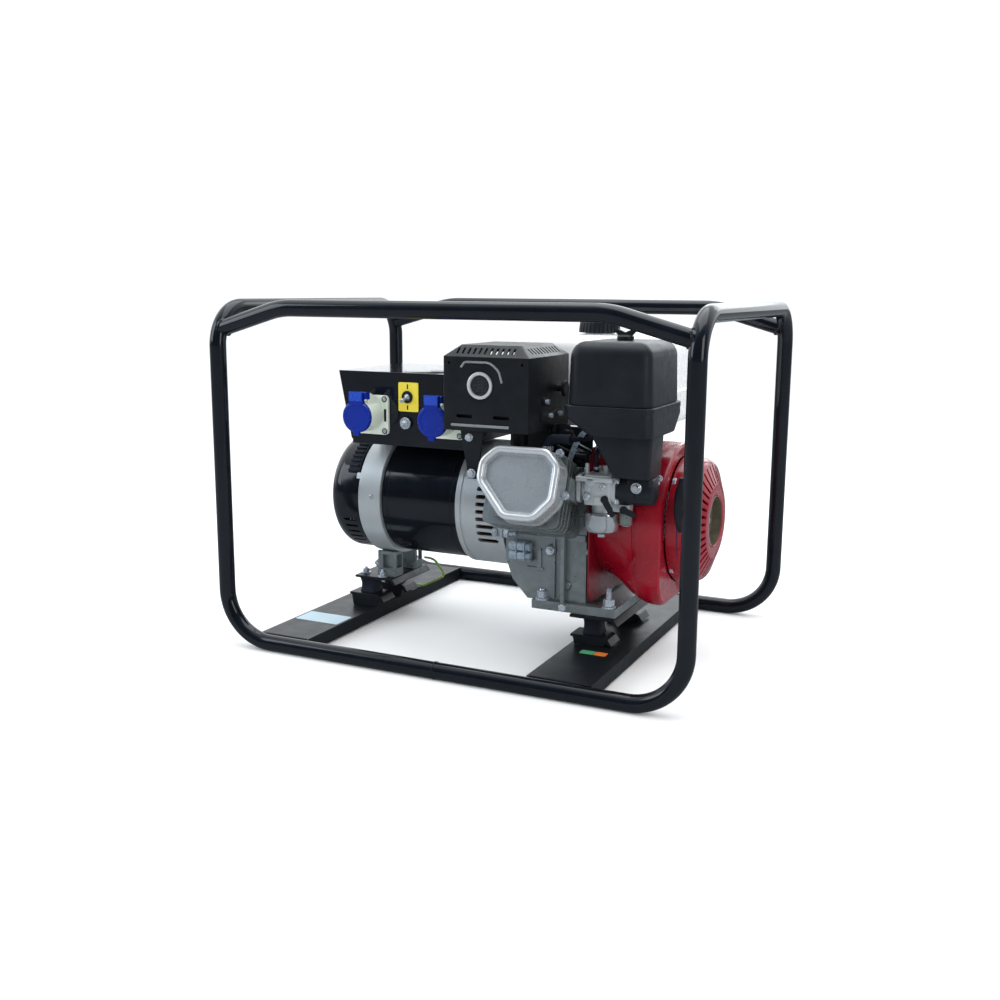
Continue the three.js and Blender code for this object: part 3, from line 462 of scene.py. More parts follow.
def prism(outline, axis, low, high):
    """An outline pushed along an axis: it is drawn in Y and Z for x, in X and Z for y, in X and Y for z."""
    place = {
        "x": lambda a, b, t: (t, a, b),
        "y": lambda a, b, t: (a, t, b),
        "z": lambda a, b, t: (a, b, t),
    }[axis]
    return skin([[place(a, b, t) for a, b in outline] for t in (low, high)])


def block(x, y, z, radius=0.0):
    return prism(rectangle(x, y, radius), "z", *z)


def stack(levels):
    """A skin through (height, outline) levels."""
    return skin([[(a, b, height) for a, b in outline] for height, outline in levels])


def bent(corners, radii, step=6):
    """A path of straight runs whose corners are rounded to the radii."""
    corners = [Vector(c) for c in corners]
    path = [corners[0]]
    for i in range(1, len(corners) - 1):
        back = (corners[i - 1] - corners[i]).normalized()
        ahead = (corners[i + 1] - corners[i]).normalized()
        turn = math.pi - back.angle(ahead)
        radius = radii[i - 1]
        centre = corners[i] + (back + ahead).normalized() * (radius / math.cos(turn / 2))
        start = corners[i] + back * (radius * math.tan(turn / 2)) - centre
        axis = ahead.cross(back).normalized()
        steps = max(2, round(math.degrees(turn) / step))
        path += [centre + Matrix.Rotation(turn * k / steps, 3, axis) @ start for k in range(steps + 1)]
    path.append(corners[-1])
    return path


def sweep(path, radius, count=24, closed=False):
    """A round bar along a path. radius is a number, or a function of the share of the path that is done."""
    path = [Vector(p) for p in path]
    last = len(path) - 1
    loops = []
    side = None
    for i, point in enumerate(path):
        before = path[i - 1] if i > 0 or closed else point
        after = path[(i + 1) % len(path)] if i < last or closed else point
        along = (after - before).normalized()
        if side is None:
            side = along.orthogonal().normalized()
        side = (side - along * side.dot(along)).normalized()
        other = along.cross(side)
        r = radius(i / last) if callable(radius) else radius
        turns = [2 * math.pi / count * k for k in range(count)]
        loops.append([point + (side * math.cos(a) + other * math.sin(a)) * r for a in turns])
    return skin(loops, closed)


def helix(start, end, radius, turns, wire, count=8):
    """A coil spring between two points."""
    start, end = Vector(start), Vector(end)
    matrix = aim(start, end - start)
    steps = int(turns * 14)
    path = []
    for k in range(steps + 1):
        across = polar(radius, 360 * turns * k / steps)
        path.append(matrix @ Vector((*across, (end - start).length * k / steps)))
    return sweep(path, wire, count)


def repeat_around(shape, count, origin, direction, start=0.0, turn=360.0):
    """Copies of a shape spread about an axis through origin."""
    copies = []
    place = Matrix.Translation(Vector(origin))
    for k in range(count):
        spin = Matrix.Rotation(math.radians(start + turn * k / count), 4, Vector(direction))
        copies.append(shape.moved(place @ spin @ place.inverted()))
    return together(copies)


# ---------------------------------------------------------------- pieces
def new_object(name, shape):
    """A Blender object of a shape, in metres, with doubled points joined and its faces turned outwards."""
    mesh = bpy.data.meshes.new(name)
    mesh.from_pydata([p * MM for p in shape.points], [], shape.faces)
    tidy = bmesh.new()
    tidy.from_mesh(mesh)
    bmesh.ops.remove_doubles(tidy, verts=tidy.verts, dist=1e-6)
    bmesh.ops.recalc_face_normals(tidy, faces=tidy.faces)
    tidy.to_mesh(mesh)
    tidy.free()
    thing = bpy.data.objects.new(name, mesh)
    bpy.context.scene.collection.objects.link(thing)
    return thing


def combine(operation, first, *others):
    """first joined with, or cut by, each of the other shapes in turn."""
    base = new_object("base", first)
    tools = [new_object("tool", other) for other in others]
    for tool in tools:
        modifier = base.modifiers.new("step", "BOOLEAN")
        modifier.operation = operation
        modifier.solver = "MANIFOLD"
        modifier.object = tool
    graph = bpy.context.evaluated_depsgraph_get()
    result = bpy.data.meshes.new_from_object(base.evaluated_get(graph))
    shape = Shape([v.co / MM for v in result.vertices], [list(p.vertices) for p in result.polygons])
    bpy.data.meshes.remove(result)
    for thing in [base, *tools]:
        bpy.data.objects.remove(thing)
    return shape


def carved(shape, *tools):
    return combine("DIFFERENCE", shape, *tools)


def merged(shape, *others):
    return combine("UNION", shape, *others)


def piece(name, shape, finish, body="machine", replaces=(), edge=0.0, angle=32, steps=2):
    """A finished piece. finish is a material slot or a material, and edge rounds its sharp edges, in mm."""
    thing = new_object(name, shape)
    if isinstance(finish, str):
        thing.data.materials.append(PAINT[finish])
    else:
        thing.data.materials.append(finish)
    thing.data.shade_smooth()
    thing.data.set_sharp_from_angle(angle=math.radians(angle))
    if edge:
        round_edges(thing, edge, angle, steps)
    if replaces:
        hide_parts(*replaces)
    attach(thing, body)
    return thing


def round_edges(thing, edge, angle=32, steps=2):
    bevel = thing.modifiers.new("edge", "BEVEL")
    bevel.width = edge * MM
    bevel.segments = steps
    bevel.limit_method = "ANGLE"
    bevel.angle_limit = math.radians(angle)
    bevel.harden_normals = True


def dress(node, edge=0.8, angle=32, finish=None):
    """Keeps a CAD node as it is, with its sharp edges rounded and a material of its slot."""
    thing = frame["nodes"][node]
    slots = {row["node"]: row["material_slot"] for row in frame["record"]["subparts"]}
    thing.data.materials.clear()
    thing.data.materials.append(finish or PAINT[slots[node]])
    thing.data.shade_smooth()
    weld = thing.modifiers.new("weld", "WELD")
    weld.merge_threshold = 1e-5
    flat = thing.modifiers.new("flat", "DECIMATE")
    flat.decimate_type = "DISSOLVE"
    flat.angle_limit = math.radians(1)
    if edge:
        round_edges(thing, edge, angle)
    thing.modifiers.new("normals", "WEIGHTED_NORMAL")


# ---------------------------------------------------------------- fasteners
def hexagon(across, height, origin, direction, roll=0.0):
    """A hexagon with its two rims chamfered."""
    r = across / math.sqrt(3)
    chamfer = across * 0.06
    levels = [circle(r - chamfer, 0, 6), circle(r, chamfer, 6), circle(r, height - chamfer, 6)]
    levels.append(circle(r - chamfer, height, 6))
    return skin(levels).moved(aim(origin, direction, roll))


def washer(radius, thickness, origin, direction):
    edge = thickness * 0.3
    profile = [(0, 0), (0, radius), (thickness - edge, radius), (thickness, radius - edge)]
    return lathe(profile, origin, direction, 32)


def thread(radius, length, origin, direction, pitch=1.5):
    """The bare end of a stud, with grooves in place of a spiral."""
    profile = [(0, 0)]
    for k in range(max(1, int(length / pitch))):
        profile += [(k * pitch, radius * 0.86), ((k + 0.5) * pitch, radius)]
    profile.append((length, radius * 0.8))
    return lathe(profile, origin, direction, 24)


def bolt(origin, direction, across=13, head=8, collar=None, stud=0.0, roll=0.3):
    """A washer, a hexagon on it, and the end of a threaded stud if it shows."""
    origin, direction = Vector(origin), Vector(direction).normalized()
    disc = 1.8
    shape = washer(collar or across * 0.85, disc, origin, direction)
    shape += hexagon(across, head, origin + direction * disc, direction, roll)
    if stud:
        shape += thread(across * 0.3, stud, origin + direction * (disc + head - 0.2), direction)
    return shape


def pan_screw(origin, direction, radius=4.0, height=2.4):
    """A domed screw with a cross recess."""
    profile = [(0, 0), (0, radius), (height * 0.35, radius)]
    profile += [(height * (0.35 + 0.65 * math.sin(a)), radius * math.cos(a)) for a in (0.5, 0.95, 1.3)]
    head = lathe(profile, (0, 0, 0), Z, 28)
    arm, width = radius * 0.6, radius * 0.13
    deep = (height * 0.45, height + 1)
    cross = merged(block((-arm, arm), (-width, width), deep), block((-width, width), (-arm, arm), deep))
    return carved(head, cross).moved(aim(origin, direction, 0.4))


# ---------------------------------------------------------------- frame
def weld_bead(path, radius, floor=None):
    """A closed rippled bead."""
    count = len(path)
    loops = sweep(path, lambda t: radius * (1 + 0.22 * math.sin(t * count * 0.9)), 10, closed=True)
    if floor is not None:
        for p in loops.points:
            p.z = max(p.z, floor)
    return loops


def saddle(origin, along, post, radius, count=72):
    """The line where a bar along one direction meets a round post of the same radius."""
    along, post = Vector(along).normalized(), Vector(post).normalized()
    up = (post - along * post.dot(along)).normalized()
    side = along.cross(up)
    path = []
    for k in range(count):
        a = 2 * math.pi * k / count
        reach = radius * abs(math.sin(a)) + 0.6
        path.append(Vector(origin) + along * reach + (side * math.cos(a) + up * math.sin(a)) * radius)
    return path


def build_frame():
    for side, name in ((-1, "left"), (1, "right")):
        x = side * POST_X
        corners = [
            (side * 0.2, -POST_Y, TUBE_R), (x, -POST_Y, TUBE_R), (x, -POST_Y, HOOP_TOP),
            (x, POST_Y, HOOP_TOP), (x, POST_Y, TUBE_R), (side * 0.2, POST_Y, TUBE_R),
        ]
        path = bent(corners, [BOTTOM_BEND, TOP_BEND, TOP_BEND, BOTTOM_BEND], 4)
        hoop = f"frame_hoop_{name}"
        piece(f"tube_hoop_{name}", sweep(path, TUBE_R, 40), "black_paint", replaces=[hoop], angle=60)
    beads = []
    for side, name in ((-1, "near"), (1, "far")):
        y = side * POST_Y
        end_y = side * (POST_Y - 6.4)
        inset = 6
        ends = []
        for turn in (-1, 1):
            end = Vector((turn * POST_X, end_y, RAIL_END_Z))
            knee = Vector((turn * RAIL_BREAK_X, y, HOOP_TOP))
            along = (knee - end).normalized()
            ends.append((end + along * inset, knee))
            lean = Vector((0, side * 26, 54))
            beads.append(weld_bead(saddle(end, along, lean, TUBE_R), 1.7))
        corners = [ends[0][0], ends[0][1], ends[1][1], ends[1][0]]
        rail = sweep(bent(corners, [RAIL_BEND, RAIL_BEND], 1.5), TUBE_R, 40)
        piece(f"tube_top_rail_{name}", rail, "black_paint", replaces=[f"top_rail_{name}"], angle=60)
        ring = [(0, y + v.x, TUBE_R + v.y) for v in circle(TUBE_R - 0.4, 0, 60)]
        beads.append(weld_bead(ring, 1.6, floor=0.3))
        for end in ("left", "right"):
            channel = span(f"base_channel_{end}")
            z = channel[2][1]
            reach = side * (POST_Y - TUBE_R + 4)
            row = [(x0, reach, z - 0.6) for x0 in frange(channel[0][0] + 4, channel[0][1] - 4, 2.5)]
            beads.append(sweep(row, lambda t: 1.7 + 0.3 * math.sin(t * 90), 8))
    welds = together(beads)
    side = POST_Y + TUBE_R
    for p in welds.points:
        p.y = min(max(p.y, -side), side)
    piece("weld_beads", welds, "black_paint", angle=50)
    for end in ("left", "right"):
        dress(f"base_channel_{end}", 1.4, finish=CHANNEL_BLACK)


def build_labels():
    left, right = span("base_channel_left"), span("base_channel_right")
    top, edge = left[2][1], right[0][0]
    labels = (
        ("blank_label_left", (left[0][0] + 4, left[0][1] - 4), (-175, -128), 3, LABEL_BLUE),
        ("blank_label_green", (edge + 30, edge + 52), (-133, -117), 2, LABEL_GREEN),
        ("blank_label_orange", (edge + 53, edge + 72), (-133, -117), 2, LABEL_ORANGE),
    )
    for name, x, y, radius, finish in labels:
        piece(name, block(x, y, (top + 0.02, top + 0.35), radius), finish)


# ---------------------------------------------------------------- rubber mounts and brackets
def build_mounts():
    bolts = []
    for end in ("left", "right"):
        for side in ("near", "far"):
            foot = f"mount_foot_{side}_{end}"
            rubber = f"mount_rubber_{side}_{end}"
            dress(foot, 0.7)
            x, y, (z0, z1) = span(rubber)
            levels = []
            for share in frange(0, 1, 0.1):
                waist = 2.6 * math.sin(math.pi * share)
                rim = 18 * max(0, abs(share - 0.5) - 0.42)
                levels.append((z0 + (z1 - z0) * share, inset_rectangle(x, y, waist + rim, 5)))
            piece(f"rubber_block_{side}_{end}", stack(levels), "rubber", replaces=[rubber], angle=50)
            foot_box = span(foot)
            x = foot_box[0][0] + 14
            for y in (foot_box[1][0] + 7, foot_box[1][1] - 7):
                bolts.append(bolt((x, y, foot_box[2][1] - 18), -X, 8, 3))
    for node, end in (("alternator_bracket", "left"), ("engine_bracket", "right")):
        dress(node, 0.9)
        bracket = span(node)
        reach = abs(middle(span(f"mount_rubber_near_{end}")[1]))
        for y in (-reach, reach):
            bolts.append(bolt((bracket[0][0] + 9, y, bracket[2][1]), Z, 10, 6, stud=3))
    piece("mount_fasteners", together(bolts), "zinc_steel")


# ---------------------------------------------------------------- alternator
def build_alternator():
    cover = span("alternator_end_cover")
    x0, x1 = cover[0]
    r = cover[1][1]
    dome = arc((x0 + 28, r - 28), 28, 180, 90, 10)
    inner = arc((x0 + 28, r - 28), 25.5, 90, 180, 10)
    shell = on_shaft([(x0, 0), *dome, (x1 - 1, r), (x1, r - 1), (x1, r - 2.5), *inner, (x0 + 2.5, 1)])
    slot = block((x0 + 30, x0 + 54), (-2.3, 2.3), (AXIS_Z + r - 12, AXIS_Z + r + 4), 2.2)
    vents = [repeat_around(slot, 6, (0, 0, AXIS_Z), X, first, 45) for first in (112, -150)]
    face_slot = block((-14, 14), (-2, 2), (-6, 6), 1.9).moved(Matrix.Rotation(math.pi / 2, 4, "Y"))
    for row in range(-3, 4):
        vents.append(face_slot.moved(Matrix.Translation((x0, row * 9, AXIS_Z - 46))))
    shell = carved(shell, together(vents))
    piece("end_cover", shell, "black_paint", replaces=["alternator_end_cover"], edge=0.5, angle=40)
    gx0, gx1 = x1 - 27, x1 - 4
    section = ((gx0, r - 1), (gx1, r - 1), (gx1, r + 2.4), (gx0 + 2, r + 3.2), (gx0, r + 1))
    rib = block((gx0 + 1, gx1 - 3), (-1.7, 1.7), (AXIS_Z + r + 1, AXIS_Z + r + 5.6), 1.5)
    grommet = shaft_strip(section, 154, 114, 3) + repeat_around(rib, 8, (0, 0, AXIS_Z), X, 27, 40)
    piece("end_cover_grommet", grommet, "rubber", edge=0.4)

    ring = span("alternator_rear_ring")
    (x0, x1), _, (z0, z1) = ring
    r = 104
    body = on_shaft([
        (x0 + 1.2, r), (x1 - 1.2, r), (x1, r - 1.2), (x1, r - 12), (x0 + 22, r - 12), (x0 + 22, 26),
        (x0 + 26, 26), (x0 + 26, 12.3), (x0 + 14, 12.3), (x0 + 14, r - 12), (x0, r - 12), (x0, r - 1.2),
    ])
    lug = block((x0 - 6, x0 + 4), (-5, 5), (AXIS_Z + r - 8, AXIS_Z + r), 1)
    lugs = [repeat_around(lug, 1, (0, 0, AXIS_Z), X, 67)]
    feet, pockets = [], []
    web, hollow = (z0 + 8, AXIS_Z - 98), (z0 + 14, AXIS_Z - 104)
    for side in (-1, 1):
        inner, outer = sorted((side * 22, side * 46))
        feet.append(block((x0 + 6, x1 - 4), (inner, outer), (z0 + 9, web[1])))
        feet.append(block((x0 + 2, x1 - 4), (inner - 4, outer + 4), (z0, z0 + 12), 5))
        lugs.append(block((x0 + 10, x1 - 10), (side * 34 - 8, side * 34 + 8), (AXIS_Z + 90, z1), 3))
        for rib in (26, 42):
            feet.append(block((x0 + 1.5, x0 + 7), (side * rib - 2.5, side * rib + 2.5), web))
        near, far = sorted((side * 38, side * 50))
        pockets += [block((x0 + 12, x1 - 10), (near, far), hollow),
                    block((x1 - 10, x1), (inner + 4, outer - 4), hollow)]
    piece("alternator_feet", carved(merged(*feet), *pockets), CASE_ALUMINIUM, edge=0.9, angle=40)
    piece("alternator_ring", merged(body, *lugs), "cast_aluminium", replaces=["alternator_rear_ring"],
          edge=0.9, angle=40)

    x0, x1 = STATOR[0]
    r, bore = BARREL_R, 63
    seam = x0 + 9
    profile = [
        (x0, bore + 22), (x0, r - 1), (x0 + 1, r), (seam, r), (seam + 0.8, r - 0.9), (seam + 2, r - 0.9),
        (seam + 2.8, r), (x1 - 12, r), (x1 - 11.2, r - 0.9), (x1 - 10, r - 0.9), (x1 - 9.2, r), (x1 - 1, r),
        (x1, r - 1), (x1, bore + 22), (-76, bore + 22), (-76, bore), (-174, bore), (-174, bore + 22),
    ]
    piece("barrel", on_shaft(profile), "black_paint", replaces=["stator_barrel"], angle=40)

    x0, x1 = span("drive_end_shield")[0]
    r = 103
    shell = on_shaft([
        (x0, r - 1), (x0 + 1, r), (x0 + 9, r), (x0 + 10, r - 1.5), (x0 + 14, r - 1.5), (x0 + 15, r),
        (x1 - 9, r), (x1 - 8, r + 1), (x1 - 8, r + 2.4), (x1 - 7.4, r + 3), (x1 - 0.6, r + 3), (x1, r + 2.4),
        (x1, 44), (x1 - 8, 44), (x1 - 8, r - 8), (x0, r - 8),
    ])
    slots = []
    for side in (-1, 1):
        for i in range(-4, 5):
            outline = rectangle((-18, 18), (AXIS_Z + i * 12 - 3.2, AXIS_Z + i * 12 + 3.2), 3)
            slots.append(prism(outline, "y", *sorted((side * 112, side * 45))))
    shell = carved(shell, together(slots))
    piece("end_shield", shell, "cast_aluminium", replaces=["drive_end_shield"], edge=0.6, angle=40)
    dress("rotor", 0.5)

    bolts = []
    for side in (-1, 1):
        for height in (-60, 60):
            y = side * math.sqrt(96.0 ** 2 - height ** 2)
            bolts.append(bolt((x1 - 8, y, AXIS_Z + height), -X, 10, 6))
        for height in (-30, -14):
            y, z = side * 100, AXIS_Z + height
            bolts += [hexagon(14, 9, (x1 - 8, y, z), -X, 0.2), washer(9, 2, (x1 + 0.2, y, z), X),
                      hexagon(13, 9, (x1 + 2.2, y, z), X, 0.5), thread(4, 12, (x1 + 11, y, z), X)]
        bolts.append(bolt((ring[0][0] + 2, side * 34, z0 + 18), -X, 12, 7, stud=4))
        bolts.append(bolt((ring[0][0] + 16, side * 53, z0), Z, 10, 6, stud=5))
    bolts.append(pan_screw((ring[0][1] - 16, -103.6, AXIS_Z + 8), -Y, 4, 2.2))
    piece("alternator_fasteners", together(bolts), "zinc_steel")


# ---------------------------------------------------------------- engine
def cylinder_frame():
    lean = Matrix.Rotation(math.pi / 2 - CYLINDER_TILT, 4, "X")
    return Matrix.Translation((CYLINDER_X, 0, CYLINDER_Z)) @ lean


def shrunk(corners, inset):
    """A convex outline, anticlockwise, with every side moved in by inset."""
    sides = []
    for i, corner in enumerate(corners):
        a, b = Vector(corner), Vector(corners[(i + 1) % len(corners)])
        along = (b - a).normalized()
        sides.append((a + Vector((-along.y, along.x)) * inset, along))
    points = []
    for i, (here, along) in enumerate(sides):
        before, back = sides[i - 1]
        cross = back.x * along.y - back.y * along.x
        gap = here - before
        reach = (gap.x * along.y - gap.y * along.x) / cross
        points.append(before + back * reach)
    return points


COVER_OUTLINE = ((-16, -60), (37, -60), (66, -27), (66, 28), (42, 52), (-42, 52), (-66, 28), (-66, -6))


def cover_level(inset):
    return rounded(shrunk(COVER_OUTLINE, inset), max(26 - inset, 8), 8)


def build_engine():
    for node in ("crankcase", "cylinder_head"):
        dress(node, 1.6, finish=CASE_ALUMINIUM)
    for node in ("crankshaft", "flywheel", "piston"):
        dress(node, 0.5)
    tilt = cylinder_frame()

    rim_height, rim_inset, rim_radius = 232.6, 6.6, 5
    levels = [(205.4, 0.0), (210, -0.2), (211, 0.2), (211.6, 1.0), (214, 1.2), (229, 1.5)]
    levels += [(z, inset) for inset, z in arc((rim_inset, rim_height), rim_radius, 165, 0, 11)]
    levels += [(230.0, 11.9), (228.6, 13.2), (228.2, 16), (228.2, 21)]
    cover = stack([(z, cover_level(inset)) for z, inset in levels]).moved(tilt)
    piece("valve_cover", cover, PRESSED_SILVER, replaces=["rocker_cover"], angle=50)
    line = [Vector((u, v, rim_height)) for u, v in cover_level(rim_inset)]
    # The rim is drawn in a painted highlight.
    piece("valve_cover_rim", sweep(line, rim_radius + 0.2, 24, closed=True).moved(tilt), RIM_PAINTED_HIGHLIGHT, angle=60)
    bolts, bosses = [], []
    for u, v in ((-69, 12), (69, -12), (50, 50), (-50, 50)):
        bosses.append(rod(6, (u, v, 205), (u, v, 211), 32, 1).moved(tilt))
        bolts.append(bolt((0, 0, 0), Z, 7, 4).moved(tilt @ Matrix.Translation((u, v, 211))))
    piece("valve_cover_bosses", together(bosses), PRESSED_SILVER)

    flange_top, near_face, block_top = 92, -94, 303
    details = [
        block((116, 120), (-100.5, near_face), (flange_top + 4, 196), 1.6),
        prism(rounded([(70, 138), (100, 138), (100, 142), (70, 142)], 1.6, 3), "y", -99, near_face),
        prism(rounded([(88, 140), (96, 140), (96, 176), (88, 168)], 3, 4), "y", -98.6, near_face),
        rod(9, (112, near_face, 172), (112, -103, 172), 40, 2),
        rod(8, (138, near_face, 118), (138, -100, 118), 36, 1.6),
        rod(13, (57, near_face, 166), (57, -98, 166), 40, 1.4),
        block((36, 98), (-101, near_face), (196, 206), 3),
        block((98, 170), (-99, near_face), (190, 200), 3),
    ]
    for x, y in BLOCK_BOLTS:
        details.append(rod(9, (x, y, 284), (x, y, block_top), 32, 1.6))
        bolts.append(bolt((x, y, block_top), Z, 10, 6))
    for x in frange(52, 158, 21):
        details.append(block((x - 2, x + 2), (92, 101), (flange_top + 4, 282), 1.6))
    piece("crankcase_ribs", together(details), CASE_ALUMINIUM, edge=1.4)

    bolts.append(bolt((112, -103, 172), -Y, 8, 4))
    pairs = []
    for height in (160, 175):
        at = [(x, -107, height) for x in (46, 57, 59, 71, 73.4)]
        pairs += [hexagon(13, 11, at[0], X, 0.3), washer(8.6, 2.4, at[1], X), rod(7, at[2], at[3], 40, 1.2),
                  washer(8.6, 2.4, at[3], X), hexagon(11, 8, at[4], X, 0.8)]
    piece("clamp_bolts", together(pairs), PALE_STEEL, edge=0.3)
    for x, y in ((209, -98), (209, 98), (98, -98), (98, 98)):
        bolts += [washer(11, 2.4, (x, y, flange_top), Z), hexagon(15, 11, (x, y, flange_top + 2.4), Z, 0.2),
                  thread(4.6, 18 if x > 150 else 4, (x, y, flange_top + 13), Z)]
    piece("engine_fasteners", together(bolts), "zinc_steel")
    seats = [block((48, 84), (-112, -97), (152, 156), 2), block((50, 80), (-101, -95), (152, 182), 3)]
    piece("stack_bracket", together(seats), CASE_ALUMINIUM, edge=0.8)
    guide = [prism(rounded([(30, 314), (164, 314), (164, 352), (154, 361), (30, 361)], 4, 4), "y", -62, -60.6),
             block((34, 150), (-61, -48), (359.8, 361), 0.5), block((92, 96), (-63.4, -60), (320, 356), 1.4)]
    piece("cylinder_air_guide", together(guide), "black_steel", edge=0.5)
    dress("oil_drain_bolt", 0.5)
    (x0, x1), (y0, y1), (z0, z1) = span("oil_filler_cap")
    cx, cz = middle((x0, x1)), middle((z0, z1))
    cap = lathe([(0, 0), (0, 12.6), (1, 13), (6.5, 13), (7.7, 12)], (cx, y0, cz), Y, 48)
    wings = merged(rod(8.6, (cx, y0 + 7, cz), (cx, y1, cz), 32, 1),
                   block((cx - 2.5, cx + 2.5), (y0 + 7, y1 - 1), (cz - 12, cz + 12), 2))
    piece("oil_cap_moulding", cap + wings, "charcoal_plastic", "oil_cap", ["oil_filler_cap"], edge=0.5)

    boot = sweep(bent([(127, -151, 334), (127, -151, 354), (163, -151, 354)], [12], 10), plug_cap_radius, 24)
    route = [(161, -151, 354), (172, -120, 352), (171, -30, 346), (160, -12, 340), (160, -12, 300.6)]
    lead = sweep(bent(route, [20, 30, 12], 8), 3.5, 16)
    piece("plug_cap_and_lead", boot + lead, "rubber", replaces=["spark_plug_lead"], angle=50)
    clip = lathe([(0, 8.05), (0, 8.4), (7, 8.4), (7, 8.05)], (127, -151, 336), Z, 40)
    piece("plug_cap_shield", clip, MACHINED)


def plug_cap_radius(share):
    """The plug cap's radius at a share of its length. It has moulded rings."""
    rings, depth = 4, 0.425
    return 7.525 + depth * math.cos(2 * math.pi * rings * share)


# ---------------------------------------------------------------- fan shroud and starter
def skirt_outline(inset):
    """The lower half of the shroud, squared off with two large rounded corners."""
    half, low, high, r = 116, 100, 205, 45
    left = arc((-half + r, low + r), r - inset, 180, 270, 10)
    right = arc((half - r, low + r), r - inset, 270, 360, 10)
    return [(-half + inset, high), *left, *right, (half - inset, high)]


def build_shroud():
    x0, x1 = span("fan_shroud")[0]
    r = 118
    outside = on_shaft([
        (x0, 0), (x0, r - 22), (x0 + 15, r - 17), (x0 + 30, r - 11), (x0 + 46, r - 5), (x0 + 58, r - 0.8),
        (x0 + 64, r), (x0 + 70, r), (x0 + 71, r - 1.6), (x0 + 74, r - 1.6), (x0 + 75, r), (x1 - 6, r),
        (x1 - 2, r - 1.6), (x1, r - 5),
    ], 160)
    levels = ((24, 44), (38, 33), (52, 22), (64, 13), (76, 6), (88, 1.5), (96, 0), (x1 - x0 - 6, 0),
              (x1 - x0 - 2, 1.6), (x1 - x0, 5))
    skirt = skin([[(x0 + step, y, z) for y, z in skirt_outline(inset)] for step, inset in levels])
    room = on_shaft([
        (x0 - 1, 0), (x0 - 1, r - 25), (x0 + 3, r - 25), (x0 + 31, r - 14), (x0 + 62, r - 3.2),
        (x1 - 6, r - 3.2), (x1 - 3, r - 7), (x1 - 3, r - 19), (x1 + 1, r - 19),
    ], 160)
    below = prism(skirt_outline(6), "x", x0 + 86, x1 - 3)
    shell = carved(merged(outside, skirt), room, below)
    piece("shroud", shell, "red_paint", replaces=["fan_shroud"], angle=30)
    hole = rod(93, (x0 - 1, 0, AXIS_Z), (x0 + 4, 0, AXIS_Z), 96)
    plate = carved(prism(rectangle((-112, 112), (96, 338), 24, 8), "x", x0, x0 + 2.6), hole)
    # The side plate and its rings carry painted shade, a darker copy of the red enamel.
    piece("shroud_plate", plate, RED_PAINTED_SHADE, edge=0.8)
    rings = []
    for y, z, radius in ((-92, 306, 13), (92, 306, 13), (-96, 122, 11), (92, 122, 11)):
        rings.append(lathe([(-0.2, radius - 2), (1.4, radius - 1.4), (1.4, radius - 0.4), (-0.2, radius)],
                           (x0, y, z), -X, 40))
    piece("shroud_plate_embossing", together(rings), RED_PAINTED_SHADE)
    screws = []
    for y, z in ((-98, 262), (98, 262), (-92, 306), (92, 306), (-100, 176), (98, 160)):
        screws.append(bolt((x0, y, z), -X, 8, 4, 7))
    for a in (35, 145):
        y, z = polar(1, a)
        screws.append(pan_screw((x1 - 12, y * (r - 0.2), AXIS_Z + z * (r - 0.2)), (0, y, z), 3.6, 2))
    for x, z in ((x1 - 26, 318), (x1 - 12, 296)):
        reach = math.sqrt(r ** 2 - (z - AXIS_Z) ** 2)
        screws.append(bolt((x, -reach + 0.6, z), (0, -reach, z - AXIS_Z), 8, 4, 6))
    piece("shroud_fasteners", together(screws), "zinc_steel")


